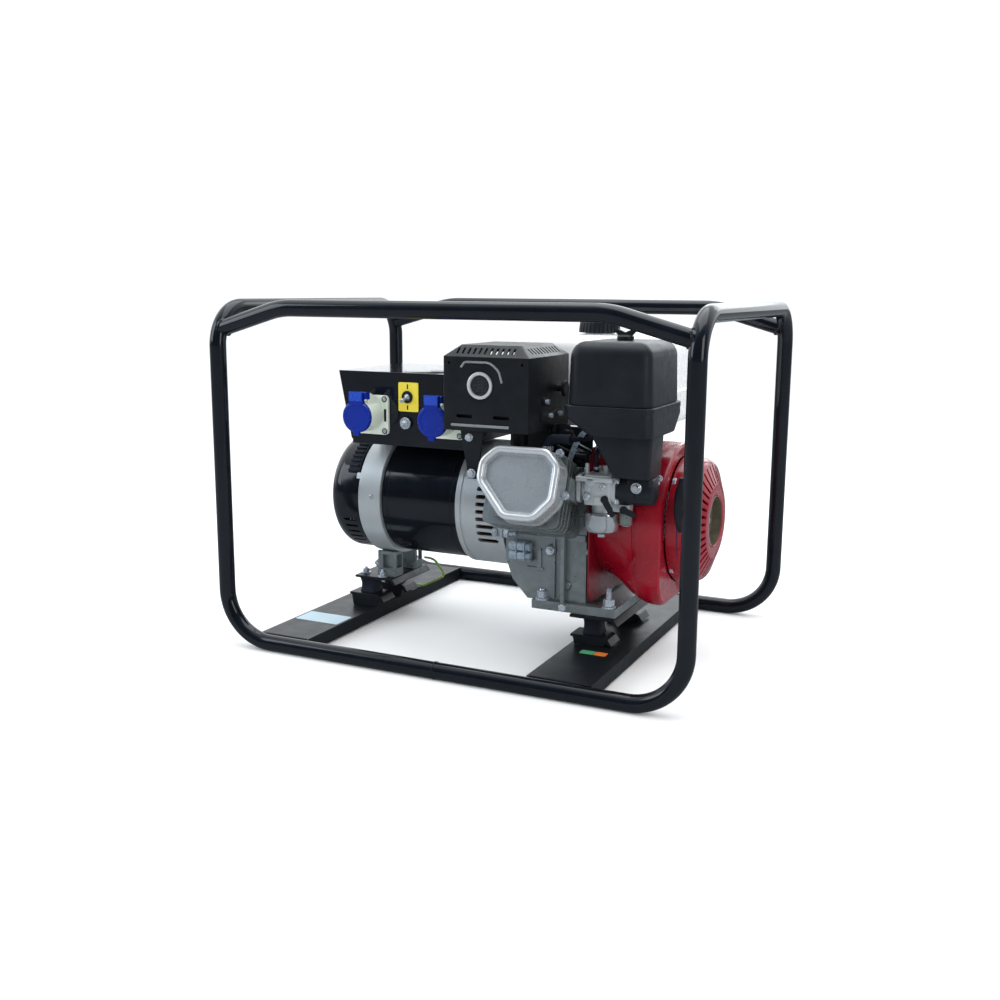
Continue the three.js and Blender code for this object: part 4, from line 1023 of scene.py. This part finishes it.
def build_recoil():
    x0, x1 = span("recoil_housing")[0]
    r = 98
    outer = [(x0, r), (x0 + 16, r), *arc((x1 - 27, r - 20), 18, 76, 38, 5), (x1 - 6, 71), (x1 - 1.5, 60),
             (x1, 56), (x1, 40)]
    well = [(x1 - 1, 38), (x1 - 16, 36), (x1 - 18, 34)]
    inside = [(x1 - 21, 0.5), (x1 - 21, 38), (x1 - 3, 42), (x1 - 4, 55), (x1 - 12, 72), (x1 - 21, 84),
              (x0 + 18, r - 4), (x0, r - 4)]
    shell = on_shaft([(x1 - 18, 0.5), *reversed(well), *reversed(outer), *reversed(inside)], 160)
    rope_x, rope_z = middle(span("starter_grip")[0]), AXIS_Z + 42
    boss = rod(9, (rope_x, -92, rope_z), (rope_x, -70, rope_z), 40, 1.5)
    slot = block((x1 - 34, x1 + 4), (-2.2, 2.2), (AXIS_Z + 58, AXIS_Z + 86))
    slots = repeat_around(slot, 36, (0, 0, AXIS_Z), X, 5)
    bore = rod(3, (rope_x, -95, rope_z), (rope_x, -60, rope_z), 20)
    shell = carved(merged(shell, boss), slots, bore)
    piece("starter_cover", shell, "red_paint", replaces=["recoil_housing"], edge=0.5, angle=35)
    well_plate = on_shaft([(x1 - 18.2, 0), (x1 - 17.4, 0.1), (x1 - 17.4, 33), (x1 - 18.2, 33)], 80)
    bar = block((x1 - 18, x1 - 12), (-5, 5), (AXIS_Z - 33, AXIS_Z + 33), 2)
    liner = on_shaft([(x1 - 17.4, 33.2), (x1 - 15.6, 35.3), (x1 - 1.4, 37.3), (x1 - 1.4, 37.95),
                      (x1 - 15.8, 35.95), (x1 - 17.6, 33.8)], 96)
    # The starter well is olive, darkened as painted shade in the recess.
    piece("starter_well_plate", well_plate + bar + liner, OLIVE_AND_PAINTED_SHADE, angle=30)
    section = ((x0 + 17, r + 0.1), (x1 - 22, 92.9), (x1 - 22, 91.5), (x0 + 17, r - 1.2))
    piece("blank_starter_label", shaft_strip(section, 150, 206, 4), LABEL_NAVY)
    screws = []
    for angle in (45, 135, 225, 315):
        y, z = polar(91, angle)
        z += AXIS_Z
        screws += [rod(9, (x0, y, z), (x0 + 6, y, z), 32, 1), bolt((x0 + 6, y, z), X, 8, 4.5, 7)]
    piece("starter_screws", together(screws), "zinc_steel")
    piece("starter_centre_bolt", bolt((x1 - 17.4, 0, AXIS_Z), X, 12, 5, 12), "zinc_steel")
    dress("starter_pulley", 0.5)

    (gx0, gx1), (_, gy1), (gz0, gz1) = span("starter_grip")
    bar = []
    for share in frange(0, 1, 1 / 12):
        bulge = math.sin(math.pi * min(max(share, 0.02), 0.98)) ** 0.35
        wide, deep = (gx1 - gx0) / 2 * bulge, 10 * bulge
        outline = rectangle((rope_x - wide, rope_x + wide), (GRIP_Y - deep, GRIP_Y + deep), 7)
        bar.append((gz0 + (gz1 - gz0) * share, outline))
    stem = rod(8.5, (rope_x, GRIP_Y + 8, rope_z), (rope_x, gy1, rope_z), 32, 1.5)
    piece("pull_grip", merged(stack(bar), stem), "charcoal_plastic", "grip", ["starter_grip"], edge=0.4,
          angle=50)
    rope = sweep([(rope_x, y, rope_z) for y in frange(gy1 + 0.4, -86, 0.6)], 2.0, 16)
    cord = new_object("starter_rope", rope)
    cord.data.materials.append(ROPE)
    cord.data.shade_smooth()
    return cord


# ---------------------------------------------------------------- fuel tank
def soft_box(x, y, z, corner, edge, draft=0.0, levels=4, top=None):
    """An upright box with rounded corners and rolled edges. draft is how much it closes in towards the top."""
    height = z[1] - z[0]
    rim = top or edge
    curve = [polar(1, 90 * k / levels) for k in range(levels + 1)]
    lower = [(z[0] + edge * (1 - u), edge * (1 - v)) for u, v in curve]
    upper = [(z[1] - rim * (1 - v), rim * (1 - u)) for u, v in curve]
    made = []
    for h, inset in lower + upper:
        inset += draft * (h - z[0]) / height
        made.append((h, inset_rectangle(x, y, inset, max(corner - inset, 2), 8)))
    return stack(made)


def build_tank():
    x, y, (z0, z1) = span("fuel_tank")
    lip, tank_top = 6, 500
    cap = span("fuel_cap")
    cx, cy = middle(cap[0]), middle(cap[1])
    body = soft_box((x[0] + lip, x[1] - lip), (y[0] + lip, y[1] - lip), (z0, tank_top), 40, 20, 0, 6)
    seam = stack([(z, inset_rectangle(x, y, i, 44, 8)) for z, i in ((410, 0.5), (412, 0), (414, 0.5))])
    neck = lathe([(0, 0), (0, 24), (10, 24), (12, 23), (z1 - tank_top + 4, 22)], (cx, cy, tank_top - 4), Z, 64)
    piece("tank", merged(body, seam, neck), "white_paint", replaces=["fuel_tank"], edge=0.6, angle=40)
    z0, z1 = cap[2]
    grooves = repeat_around(rod(1.6, (cx + 34, cy, z0 - 1), (cx + 31.6, cy, z1 + 1), 12), 30, (cx, cy, 0), Z)
    shell = lathe([(0, 25), (0, 33.4), (1, 34), (17, 32), (20, 30.5), (22, 27), (22, 1), (12, 1), (12, 25)],
                  (cx, cy, z0), Z, 96)
    piece("tank_cap", carved(shell, grooves), "charcoal_plastic", "cap", ["fuel_cap"], edge=0.3, angle=40)
    hose = bent([(190, 8, 355.4), (190, 8, 338), (196, -130, 338), (196, -130, 306.6)], [12, 12], 8)
    piece("hose", sweep(hose, 3.5, 20), "rubber", replaces=["fuel_hose"], angle=50)
    clips = [lathe([(0, 3.6), (0, 4.3), (4, 4.3), (4, 3.6)], place, Z, 24)
             for place in ((190, 8, 346), (196, -130, 310))]
    piece("hose_clips", together(clips), "zinc_steel")


# ---------------------------------------------------------------- carburettor
def build_carburettor():
    y, z = CARB_Y, CARB_Z
    body = [
        prism(rectangle((y - 21, y + 21), (z - 21, z + 21), 9), "x", 177, 183),
        rod(16, (180, y, z), (192, y, z), 48),
        block((188, 230), (y - 22, y + 22), (262, 306), 5),
        prism(rectangle((y - 20, y + 20), (z - 20, z + 20), 8), "x", 228, 236),
        rod(15, (*BOWL, 248.3), (*BOWL, 263), 40),
        block((226, 254), (-146, -128), (252, 263), 3),
        rod(8.5, (*CUP, 232), (*CUP, 253), 36, 1),
    ]
    extras = [
        rod(7, (200, y - 21, 296), (200, y - 27, 296), 32, 1),
        rod(5, (218, y - 21, 290), (218, y - 26, 290), 28, 1),
        rod(4, (195, y - 21, 274), (195, y - 30, 274), 24, 0.6),
        rod(5.5, (214, -134, 305), (214, -134, 318), 28, 0.8),
        rod(4, (198, -120, 305), (198, -120, 314), 24, 0.6),
        rod(3, (190, y - 12, 305), (190, y - 12, 322), 20, 0.6),
        block((205, 224), (y - 25, y - 21), (264, 275), 2),
        block((190, 200), (y - 24, y - 21), (282, 292), 2),
        prism(rectangle((y - 27, y - 20), (296, 304), 3), "x", 178, 234),
    ]
    piece("carburettor_body", merged(*body) + together(extras), "cast_aluminium", replaces=["carburettor"],
          edge=0.7, angle=40)
    bowl = lathe([
        (0, 0), (0, 5), (1, 6), (7, 6), (8, 19), (11, 23.6), (16, 25.4), (20, 25.8), (33, 25.8), (33.6, 26.2),
        (36.5, 26.2), (38, 25.6),
    ], (*BOWL, 210), Z, 96)
    piece("bowl", bowl, MACHINED, replaces=["float_bowl"], angle=35)
    cup = lathe([(0, 0), (0, 7), (2, 9.4), (16, 9.4), (17, 10.4), (21, 10.4)], (*CUP, 231.6), Z, 48)
    piece("sediment_cup", cup, SEDIMENT, angle=40)
    small = [hexagon(10, 5, (*BOWL, 210.2), Z), bolt((*CUP, 233.2), -Z, 9, 1)]
    small += [pan_screw((200, y - 27, 296), -Y, 4), pan_screw((218, y - 26, 290), -Y, 3.4),
              helix((195, y - 22, 274), (195, y - 30, 274), 4.4, 5, 0.5),
              pan_screw((195, y - 30, 274), -Y, 4.2)]
    for dz in (-15, 15):
        small.append(bolt((236, y - 15, z + dz), X, 7, 3, 5))
    piece("carburettor_fasteners", together(small), "zinc_steel")

    (x0, x1), _, (_, z1) = span("intake_elbow")
    elbow = [
        rod(20, (x0, y, z), (x0 + 30, y, z), 56, 2),
        lathe([(0, 0), (0, 14), (2, 18), (8, 20), (26, 20)], (x1, y, z), -X, 56),
        soft_box((250, 290), (y - 18, y + 18), (268, z1), 8, 4, 0, 3),
    ]
    piece("elbow", merged(*elbow), "charcoal_plastic", replaces=["intake_elbow"], edge=0.6, angle=40)
    knob = rod(8, (268, y - 17, 292), (268, y - 21.5, 292), 40, 0.8)
    piece("elbow_screw_seat", knob, "zinc_steel")
    piece("elbow_screw", bolt((268, y - 21.5, 292), -Y, 9, 4, 6), MACHINED)

    (x0, x1), (y0, y1), (_, z1) = span("throttle_lever")
    arm = rounded([(y0 + 1, 316), (y1 - 1, 316), (y1 - 4, z1 - 3), (y0 + 4, z1)], 3)
    hub = rod(6.8, (x0, *THROTTLE), (x1, *THROTTLE), 40, 0.4)
    piece("throttle_arm", merged(prism(arm, "x", x0 + 0.4, x1 - 0.4), hub), "zinc_steel", "throttle",
          ["throttle_lever"], edge=0.3)
    linkage = [
        rod(1.3, (130, -98, 352), (181, -98, 330), 12),
        helix((132, -108, 346), (178, -104, 322), 3.2, 26, 0.45),
    ]
    piece("governor_linkage", together(linkage), "zinc_steel")
    brackets = [
        block((118, 178), (-112, -110.4), (308, 332), 3),
        prism(rounded([(118, 326), (152, 326), (146, 372), (122, 372)], 3), "y", -112, -110.4),
        rod(13, (140, -118, 352), (140, -104, 352), 40, 2),
        rod(9, (158, -116, 322), (158, -104, 322), 32, 1.4),
    ]
    stay = [(124, -118, 372), (124, -118, 340), (160, -118, 326), (176, -118, 326)]
    brackets.append(sweep(bent(stay, [10, 8], 10), 4, 16))
    piece("governor_bracket", together(brackets), "black_steel", edge=0.6)
    strip = bent([(150, 0, 316), (160, 0, 344), (172, 0, 362), (188, 0, 372)], [30, 30], 6)
    wide = [(Vector((p.x - 3.6, 0, p.z + 2)), Vector((p.x + 3.6, 0, p.z - 2))) for p in strip]
    ribbon = skin([[(a.x, -126, a.z), (b.x, -126, b.z), (b.x, -124, b.z), (a.x, -124, a.z)] for a, b in wide])
    piece("governor_arm", ribbon, PALE_STEEL, edge=0.5)
    lever(222, (-166, -162.3), 272, 30, 60, "choke_lever", "choke", "choke_arm")
    lever(246, (-150, -146.3), 256, 22, 20, "fuel_valve_lever", "fuel_valve", "fuel_valve_arm")


def lever(x, y, z, length, angle, node, body, name):
    """A flat moulded lever that turns about an axis along Y."""
    arm = rounded([(-3, -5), (length - 2, -3.4), (length - 2, 3.4), (-3, 5)], 3)
    flat = merged(prism(arm, "y", y[0] + 0.2, y[1] - 0.2), rod(5.8, (0, y[0], 0), (0, y[1], 0), 36, 0.6))
    place = Matrix.Translation((x, 0, z)) @ Matrix.Rotation(math.radians(angle), 4, "Y")
    piece(name, flat.moved(place), "charcoal_plastic", body, [node], edge=0.4)


# ---------------------------------------------------------------- air cleaner
def build_air_cleaner():
    (x0, x1), (y0, y1), (z0, z1) = span("air_cleaner_cover")
    cover = soft_box((x0, x1), (y0, y1), (z0 - 20, z1), 22, 22, 3.5, 8)
    below = block((x0 - 20, x1 + 20), (y0 - 20, y1 + 20), (z0 - 60, z0))
    piece("filter_cover", carved(cover, below), "charcoal_plastic", replaces=["air_cleaner_cover"], edge=1.0,
          angle=40, steps=3)
    (x0, x1), (y0, y1), (z0, z1) = span("air_cleaner_base")
    levels = []
    for z, left, back, inset in ((z0, 39.5, 31.5, 1.5), (z0 + 1.5, 36, 28, 0.1), (z0 + 26, 0.8, 0.8, 0.1),
                                 (z1 - 8, 0.6, 0.6, 0.6), (z1 - 7, 0, 0, 0), (z1 - 0.8, 0, 0, 0),
                                 (z1, 0.8, 0.8, 0.8)):
        levels.append((z, rectangle((x0 + left, x1 - inset), (y0 + inset, y1 - back), 18, 8)))
    piece("filter_base", stack(levels), "charcoal_plastic", replaces=["air_cleaner_base"], edge=0.8, angle=40)
    dress("filter_element", 0)
    _, y, (z0, z1) = span("air_cleaner_duct")
    levels = [(z, rectangle(x, y, 6)) for z, x in ((z0, (236, 290)), (z1, (200, 293)))]
    piece("filter_duct", stack(levels), "charcoal_plastic", replaces=["air_cleaner_duct"], edge=0.8, angle=40)
    (x0, x1), (y0, y1), (z0, z1) = span("air_cleaner_knob")
    cx, cy = middle((x0, x1)), middle((y0, y1))
    hub = lathe([(0, 0), (0, 11), (1, 12.6), (5, 12.6), (7.5, 10)], (cx, cy, z0), Z, 48)
    wing = prism(rounded([(cx - 8, z0 + 4), (cx + 8, z0 + 4), (x1, z1 - 1), (x1 - 7, z1), (cx, z0 + 11),
                          (x0 + 7, z1), (x0, z1 - 1)], 2), "y", cy - 2.4, cy + 2.4)
    piece("filter_wing_nut", merged(hub, wing), "charcoal_plastic", "air_knob", ["air_cleaner_knob"], edge=0.5)


# ---------------------------------------------------------------- exhaust
def hipped(x, y, z, inset):
    """A box whose four upper edges are chamfered wide, with every side moved in by inset."""
    low, eaves, top, run = z[0] + inset, z[1] - 16.5 - inset * 0.4, z[1] - inset, 20 - inset * 0.4
    levels = []
    for height, more in ((low, inset), (eaves, inset), (top, inset + run)):
        levels.append((height, inset_rectangle(x, y, more, 3, 3)))
    return stack(levels)


def build_exhaust():
    dress("muffler", 1.0)
    dress("muffler_stay", 0.8)
    (x0, x1), (y0, y1), (z0, z1) = span("muffler_shield")
    wall = 2.5
    outer = hipped((x0, x1), (y0, y1), (z0, z1), 0)
    room = merged(hipped((x0, x1), (y0, y1), (z0, z1), wall),
                  block((x0 + wall, x1 - wall), (y1 - 10, y1 + 10), (z0 + wall, z1 - 17)))
    outlet = (40, 432)
    tools = [rod(24, (outlet[0], y0 - 8, outlet[1]), (outlet[0], y0 + 8, outlet[1]), 64),
             rod(20, (75, -140, z0 - 5), (75, -140, z0 + 5), 40)]
    slots = []
    across = (z1 - 20, z1 + 10)
    for x in [x0 + 19 + i * 9 for i in range(11)]:
        slots.append(prism(rectangle((y0 + 5, y0 + 15), across), "x", x, x + 3.6))
    for y in [y0 + 27 + i * 11 for i in range(10)]:
        slots.append(block((x1 - 15, x1 - 5), (y, y + 4), across))
    for x in (x0 + 22, x0 + 82):
        slots.append(prism(rectangle((x, x + 26), (384, 389), 2.2), "y", y0 - 5, y0 + 6))
    for x in (x0 + 10, x1 - 10):
        slots.append(rod(2, (x, y0 - 4, z1 - 26), (x, y0 + 6, z1 - 26), 16))
    tools.append(together(slots))
    shell = carved(outer, room, *tools)
    piece("heat_shield", shell, "black_steel", replaces=["muffler_shield"], edge=1.4, angle=30, steps=3)

    turn = Matrix.Translation((outlet[0], y0 - 1.5, outlet[1])) @ Matrix.Rotation(math.radians(3), 4, "Z")
    ring = lathe([(0, 15), (-1.6, 15.8), (-2.0, 17.6), (-1.2, 19.6), (3, 20.8), (3, 15)], (0, 2.6, 0), Y, 80)
    rest = lathe([(0, 20.4), (0, 24.2), (2.4, 24.2), (2.4, 20.4)], (0, 2.6, 0), Y, 80)
    piece("outlet_seat", rest.moved(turn), "black_steel")
    piece("outlet_ring", ring.moved(turn), MUFFLER_RING, angle=50)
    bars = []
    screen_radius, pitch = 15.2, 2.1
    for k in range(-7, 8):
        at = k * pitch
        half = math.sqrt(screen_radius ** 2 - at ** 2)
        bars += [rod(0.4, (-half, 3.6, at), (half, 3.6, at), 6),
                 rod(0.4, (at, 4.2, -half), (at, 4.2, half), 6)]
    piece("spark_screen", together(bars).moved(turn), SCREEN)
    brow_line = ((-30, 26), (-24, 34), (17, 34), (31, 22), (36, 5))
    corners = [(outlet[0] + u, 0, outlet[1] + v) for u, v in brow_line]
    brow = [Vector((p.x, y0 + 0.5, p.z)) for p in bent(corners, [7, 22, 14], 5)]
    ledge = [(x, y0 + 0.2, 373) for x in frange(x0 + 14, x1 - 30, 4)]
    ribs = sweep(brow, 1.8, 12)
    for p in ribs.points:
        p.y = max(p.y, y0 - 1)
    # The brow and ledge ribs carry a painted highlight.
    piece("shield_brow", ribs, RIB_PAINTED_HIGHLIGHT)
    piece("shield_ledge", sweep(ledge, 2.2, 16), RIB_PAINTED_HIGHLIGHT)
    knob = [rod(5, (x1 - 1, -96, 424), (x1 + 9, -96, 424), 32, 0.6),
            rod(12.5, (x1 + 9, -96, 424), (x1 + 15, -96, 424), 48, 2),
            rod(6, (x1 - 1, -150, 408), (x1 + 4, -150, 408), 32, 1),
            block((x1 - 1, x1 + 2), (-160, -80), (378, 394), 3)]
    piece("shield_side_fittings", together(knob), "black_steel", edge=0.6)
    screws = []
    for y, z in ((-150, 408), (-132, 386), (-96, 386)):
        screws.append(bolt((x1 + (4 if z > 400 else 2), y, z), X, 7, 4, 3))
    for x in (x0 + 10, x1 - 12):
        screws.append(pan_screw((x, y0 + 0.9, 402), -Y, 3.6, 0.9))
    stay = span("muffler_stay")
    screws.append(bolt((middle(stay[0]), stay[1][0], stay[2][0] + 8), -Y, 9, 4, 7))
    screws.append(bolt((middle(stay[0]) - 4, stay[1][0], stay[2][1] - 10), -Y, 9, 4, 6))
    piece("exhaust_fasteners", together(screws), "zinc_steel")


# ---------------------------------------------------------------- control box
def build_control_box():
    dress("control_box", 1.2)
    (x0, x1), (y0, y1), (_, z1) = BOX
    screws = []
    lid = block((x0 + 1.5, x1 - 1.5), (y0 + 3, y1 - 1.5), (z1 - 0.9, z1), 2)
    piece("box_lid", lid, "black_paint", edge=0.4)
    for x, y in ((x0 + 12, -100), (x1 - 12, -100), (x0 + 12, y1 - 12), (x1 - 12, y1 - 12)):
        screws.append(pan_screw((x, y, z1 - 0.6), Z, 3.2, 0.6))
    for name in ("left", "right"):
        build_socket(name, screws)
    piece("box_screws", together(screws), "zinc_steel")
    tx, tz = TOGGLE
    (px0, px1), _, (pz0, pz1) = span("switch_plate")
    hole = rod(6.5, (tx, y0 - 4, tz), (tx, y0 + 4, tz), 40)
    body = carved(prism(rectangle((px0, px1), (pz0, pz1), 2.5), "y", y0 - 2, y0 - 0.3), hole)
    piece("selector_plate", body, "yellow_plastic", replaces=["switch_plate"], edge=0.3)
    ring = lathe([(0, 6.0), (0, 9.4), (1.4, 10), (3, 9.2), (3, 6.0)], (tx, y0 - 1.9, tz), -Y, 48)
    marks = [block((tx - 1.2, tx + 1.2), (y0 - 2.25, y0 - 1.95), z)
             for z in ((pz0 + 3, pz0 + 10), (pz1 - 10, pz1 - 3))]
    piece("selector_ring", ring + together(marks), "charcoal_plastic", edge=0.2)
    pivot = Matrix.Translation((tx, y0 - 2.6, tz)) @ Matrix.Rotation(math.radians(90 + 14), 4, "X")
    ball = [(-5.4 * math.cos(math.radians(a)), 5.4 * math.sin(math.radians(a))) for a in range(0, 145, 12)]
    handle = [(6, 2.5), (12, 2.7), (17.5, 3.6), (19.2, 3.3), (20, 2.2)]
    knob = lathe([*ball, *handle], (0, 0, 0), Z, 36)
    piece("toggle", knob.moved(pivot), "zinc_steel", "toggle", ["toggle_lever"], angle=50)
    post_x, (_, ey1), post_z = span("earth_terminal")
    ex, ez = middle(post_x), middle(post_z)
    post = [hexagon(15.6, 4.5, (ex, ey1, ez), -Y, 0.2), washer(9.4, 1.4, (ex, ey1 - 4.3, ez), -Y),
            hexagon(11, 3.4, (ex, ey1 - 5.7, ez), -Y, 0.6), thread(3.6, 4.6, (ex, ey1 - 9, ez), -Y)]
    piece("earth_post", together(post), "zinc_steel", replaces=["earth_terminal"])


def build_socket(name, screws):
    x0, x1 = span(f"socket_{name}")[0]
    cx = middle((x0, x1))
    lid = span(f"socket_lid_{name}")
    lid_back = lid[1][0] + 8.5
    low, high = LID_Z - 31.5, LID_Z + 31.5
    rims = ((FACE_Y - 0.3, 0), (FACE_Y - 4.6, 0), (FACE_Y - 6, 1.4))
    flange = skin([[(x, y, z) for x, z in inset_rectangle((x0, x1), (low, high), i, 7)] for y, i in rims])
    collar = rod(25, (cx, lid_back + 0.4, LID_Z), (cx, FACE_Y - 1, LID_Z), 80, 1)
    back = block((cx - 23, cx + 23), (FACE_Y - 1, FACE_Y + 28), (LID_Z - 23, LID_Z + 23))
    hy, hz = HINGE
    root_corners = ((34, -18), (34, -6), (7, 5), (3, 5), (3, -18))
    tip_corners = ((8, -6), (8, 6), (-6, 6), (-6, -3.5), (2, -6))
    root, tip = [rounded([(hy + u, hz + v) for u, v in line], 2, 3) for line in (root_corners, tip_corners)]
    sides = ((-15.5, -12.4), (12.4, 15.5))
    ears = [prism(tip, "x", cx + a, cx + b) for a, b in sides]
    roots = [prism(root, "x", cx + a + 0.2, cx + b - 0.2) for a, b in sides]
    pin = rod(2.5, (cx - 15, hy, hz), (cx + 15, hy, hz), 24)
    mouth = rod(21, (cx, lid_back - 4, LID_Z), (cx, lid_back + 21, LID_Z), 64)
    body = carved(merged(flange, collar, back, *roots), mouth)
    piece(f"outlet_{name}", body, "socket_plastic", replaces=[f"socket_{name}"], edge=0.6, angle=40)
    piece(f"outlet_ears_{name}", merged(*ears, pin), "blue_plastic", edge=0.5)
    pins = []
    for angle in (90, 210, 330):
        u, v = polar(11, angle)
        place = (cx + u, lid_back + 20.7, LID_Z + v)
        pins.append(lathe([(0, 1.7), (0, 3.4), (4, 3.4), (4, 1.7)], place, -Y, 24))
    piece(f"outlet_contacts_{name}", together(pins), "zinc_steel")
    wells = []
    for u in (-26.5, 26.5):
        for v in (-25.5, 25.5):
            place = (cx + u, FACE_Y - 5.9, LID_Z + v)
            wells.append(lathe([(0, 2.6), (0.5, 3.2), (0.5, 4.6), (0, 5.0)], place, -Y, 32))
            screws.append(pan_screw(place, -Y, 3.2, 1.4))
    for u in (-28, 28):
        x = cx + u
        wells.append(block((x - 2.2, x + 2.2), (FACE_Y - 6.4, FACE_Y - 5.8), (LID_Z - 10, LID_Z + 10), 1))
    piece(f"outlet_details_{name}", together(wells), "black_steel")

    front = lid[1][0]
    disc = lathe([(0, 0), (0, 22.2), (0.8, 24.0), (2.2, 25.0), (8.5, 25.0)], (cx, front, LID_Z), Y, 96)
    dish = lathe([(-1, 0), (-1, 19), (0.7, 18), (0.9, 1)], (cx, front, LID_Z), Y, 80)
    slope = ((-23, 8), (23, 8), (11, 24), (-11, 24))
    shoulders = prism(rounded([(cx + u, LID_Z + v) for u, v in slope], 4, 4), "y", front + 1.2, lid_back - 0.2)
    neck = prism(rounded([(cx - 12, LID_Z + 18), (cx + 12, LID_Z + 18), (cx + 12, hz + 7), (cx - 12, hz + 7)],
                         2.5), "y", front, lid_back - 0.6)
    knuckle = rod(6, (cx - 12, hy, hz), (cx + 12, hy, hz), 40, 0.6)
    tab = block((cx - 6, cx + 6), (front, lid_back - 2.2), (LID_Z - 29.5, LID_Z - 23), 2)
    pin_hole = rod(2.8, (cx - 13, hy, hz), (cx + 13, hy, hz), 24)
    cover = carved(merged(disc, shoulders, neck, knuckle, tab), dish, pin_hole)
    piece(f"lid_{name}", cover, "blue_plastic", f"lid_{name}", [f"socket_lid_{name}"], edge=0.6, angle=40)
    # The hinge cap carries a painted highlight in a lighter blue.
    cap = block((cx - 11.8, cx + 11.8), (front - 0.5, front + 1), (LID_Z + 25, hz + 6.6), 1)
    piece(f"lid_hinge_cap_{name}", cap, HINGE_PAINTED_HIGHLIGHT, f"lid_{name}", edge=0.6)


def build_earth_wire():
    route = [(-190.6, 40, 98), (-172, 40, 98), (-168, 78, 58), (-226, 96, 28.2), (-240, 100, 28.2)]
    wire = sweep(bent(route, [12, 26, 14], 8), 2.1, 16)
    piece("earth_lead", wire, YELLOW_GREEN, replaces=["earth_wire"], angle=50)


# ---------------------------------------------------------------- the whole
add_camera()
add_studio()
build_frame()
build_labels()
build_mounts()
build_alternator()
build_engine()
build_shroud()
rope = build_recoil()
build_tank()
build_carburettor()
build_air_cleaner()
build_exhaust()
build_control_box()
build_earth_wire()
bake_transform(rope)
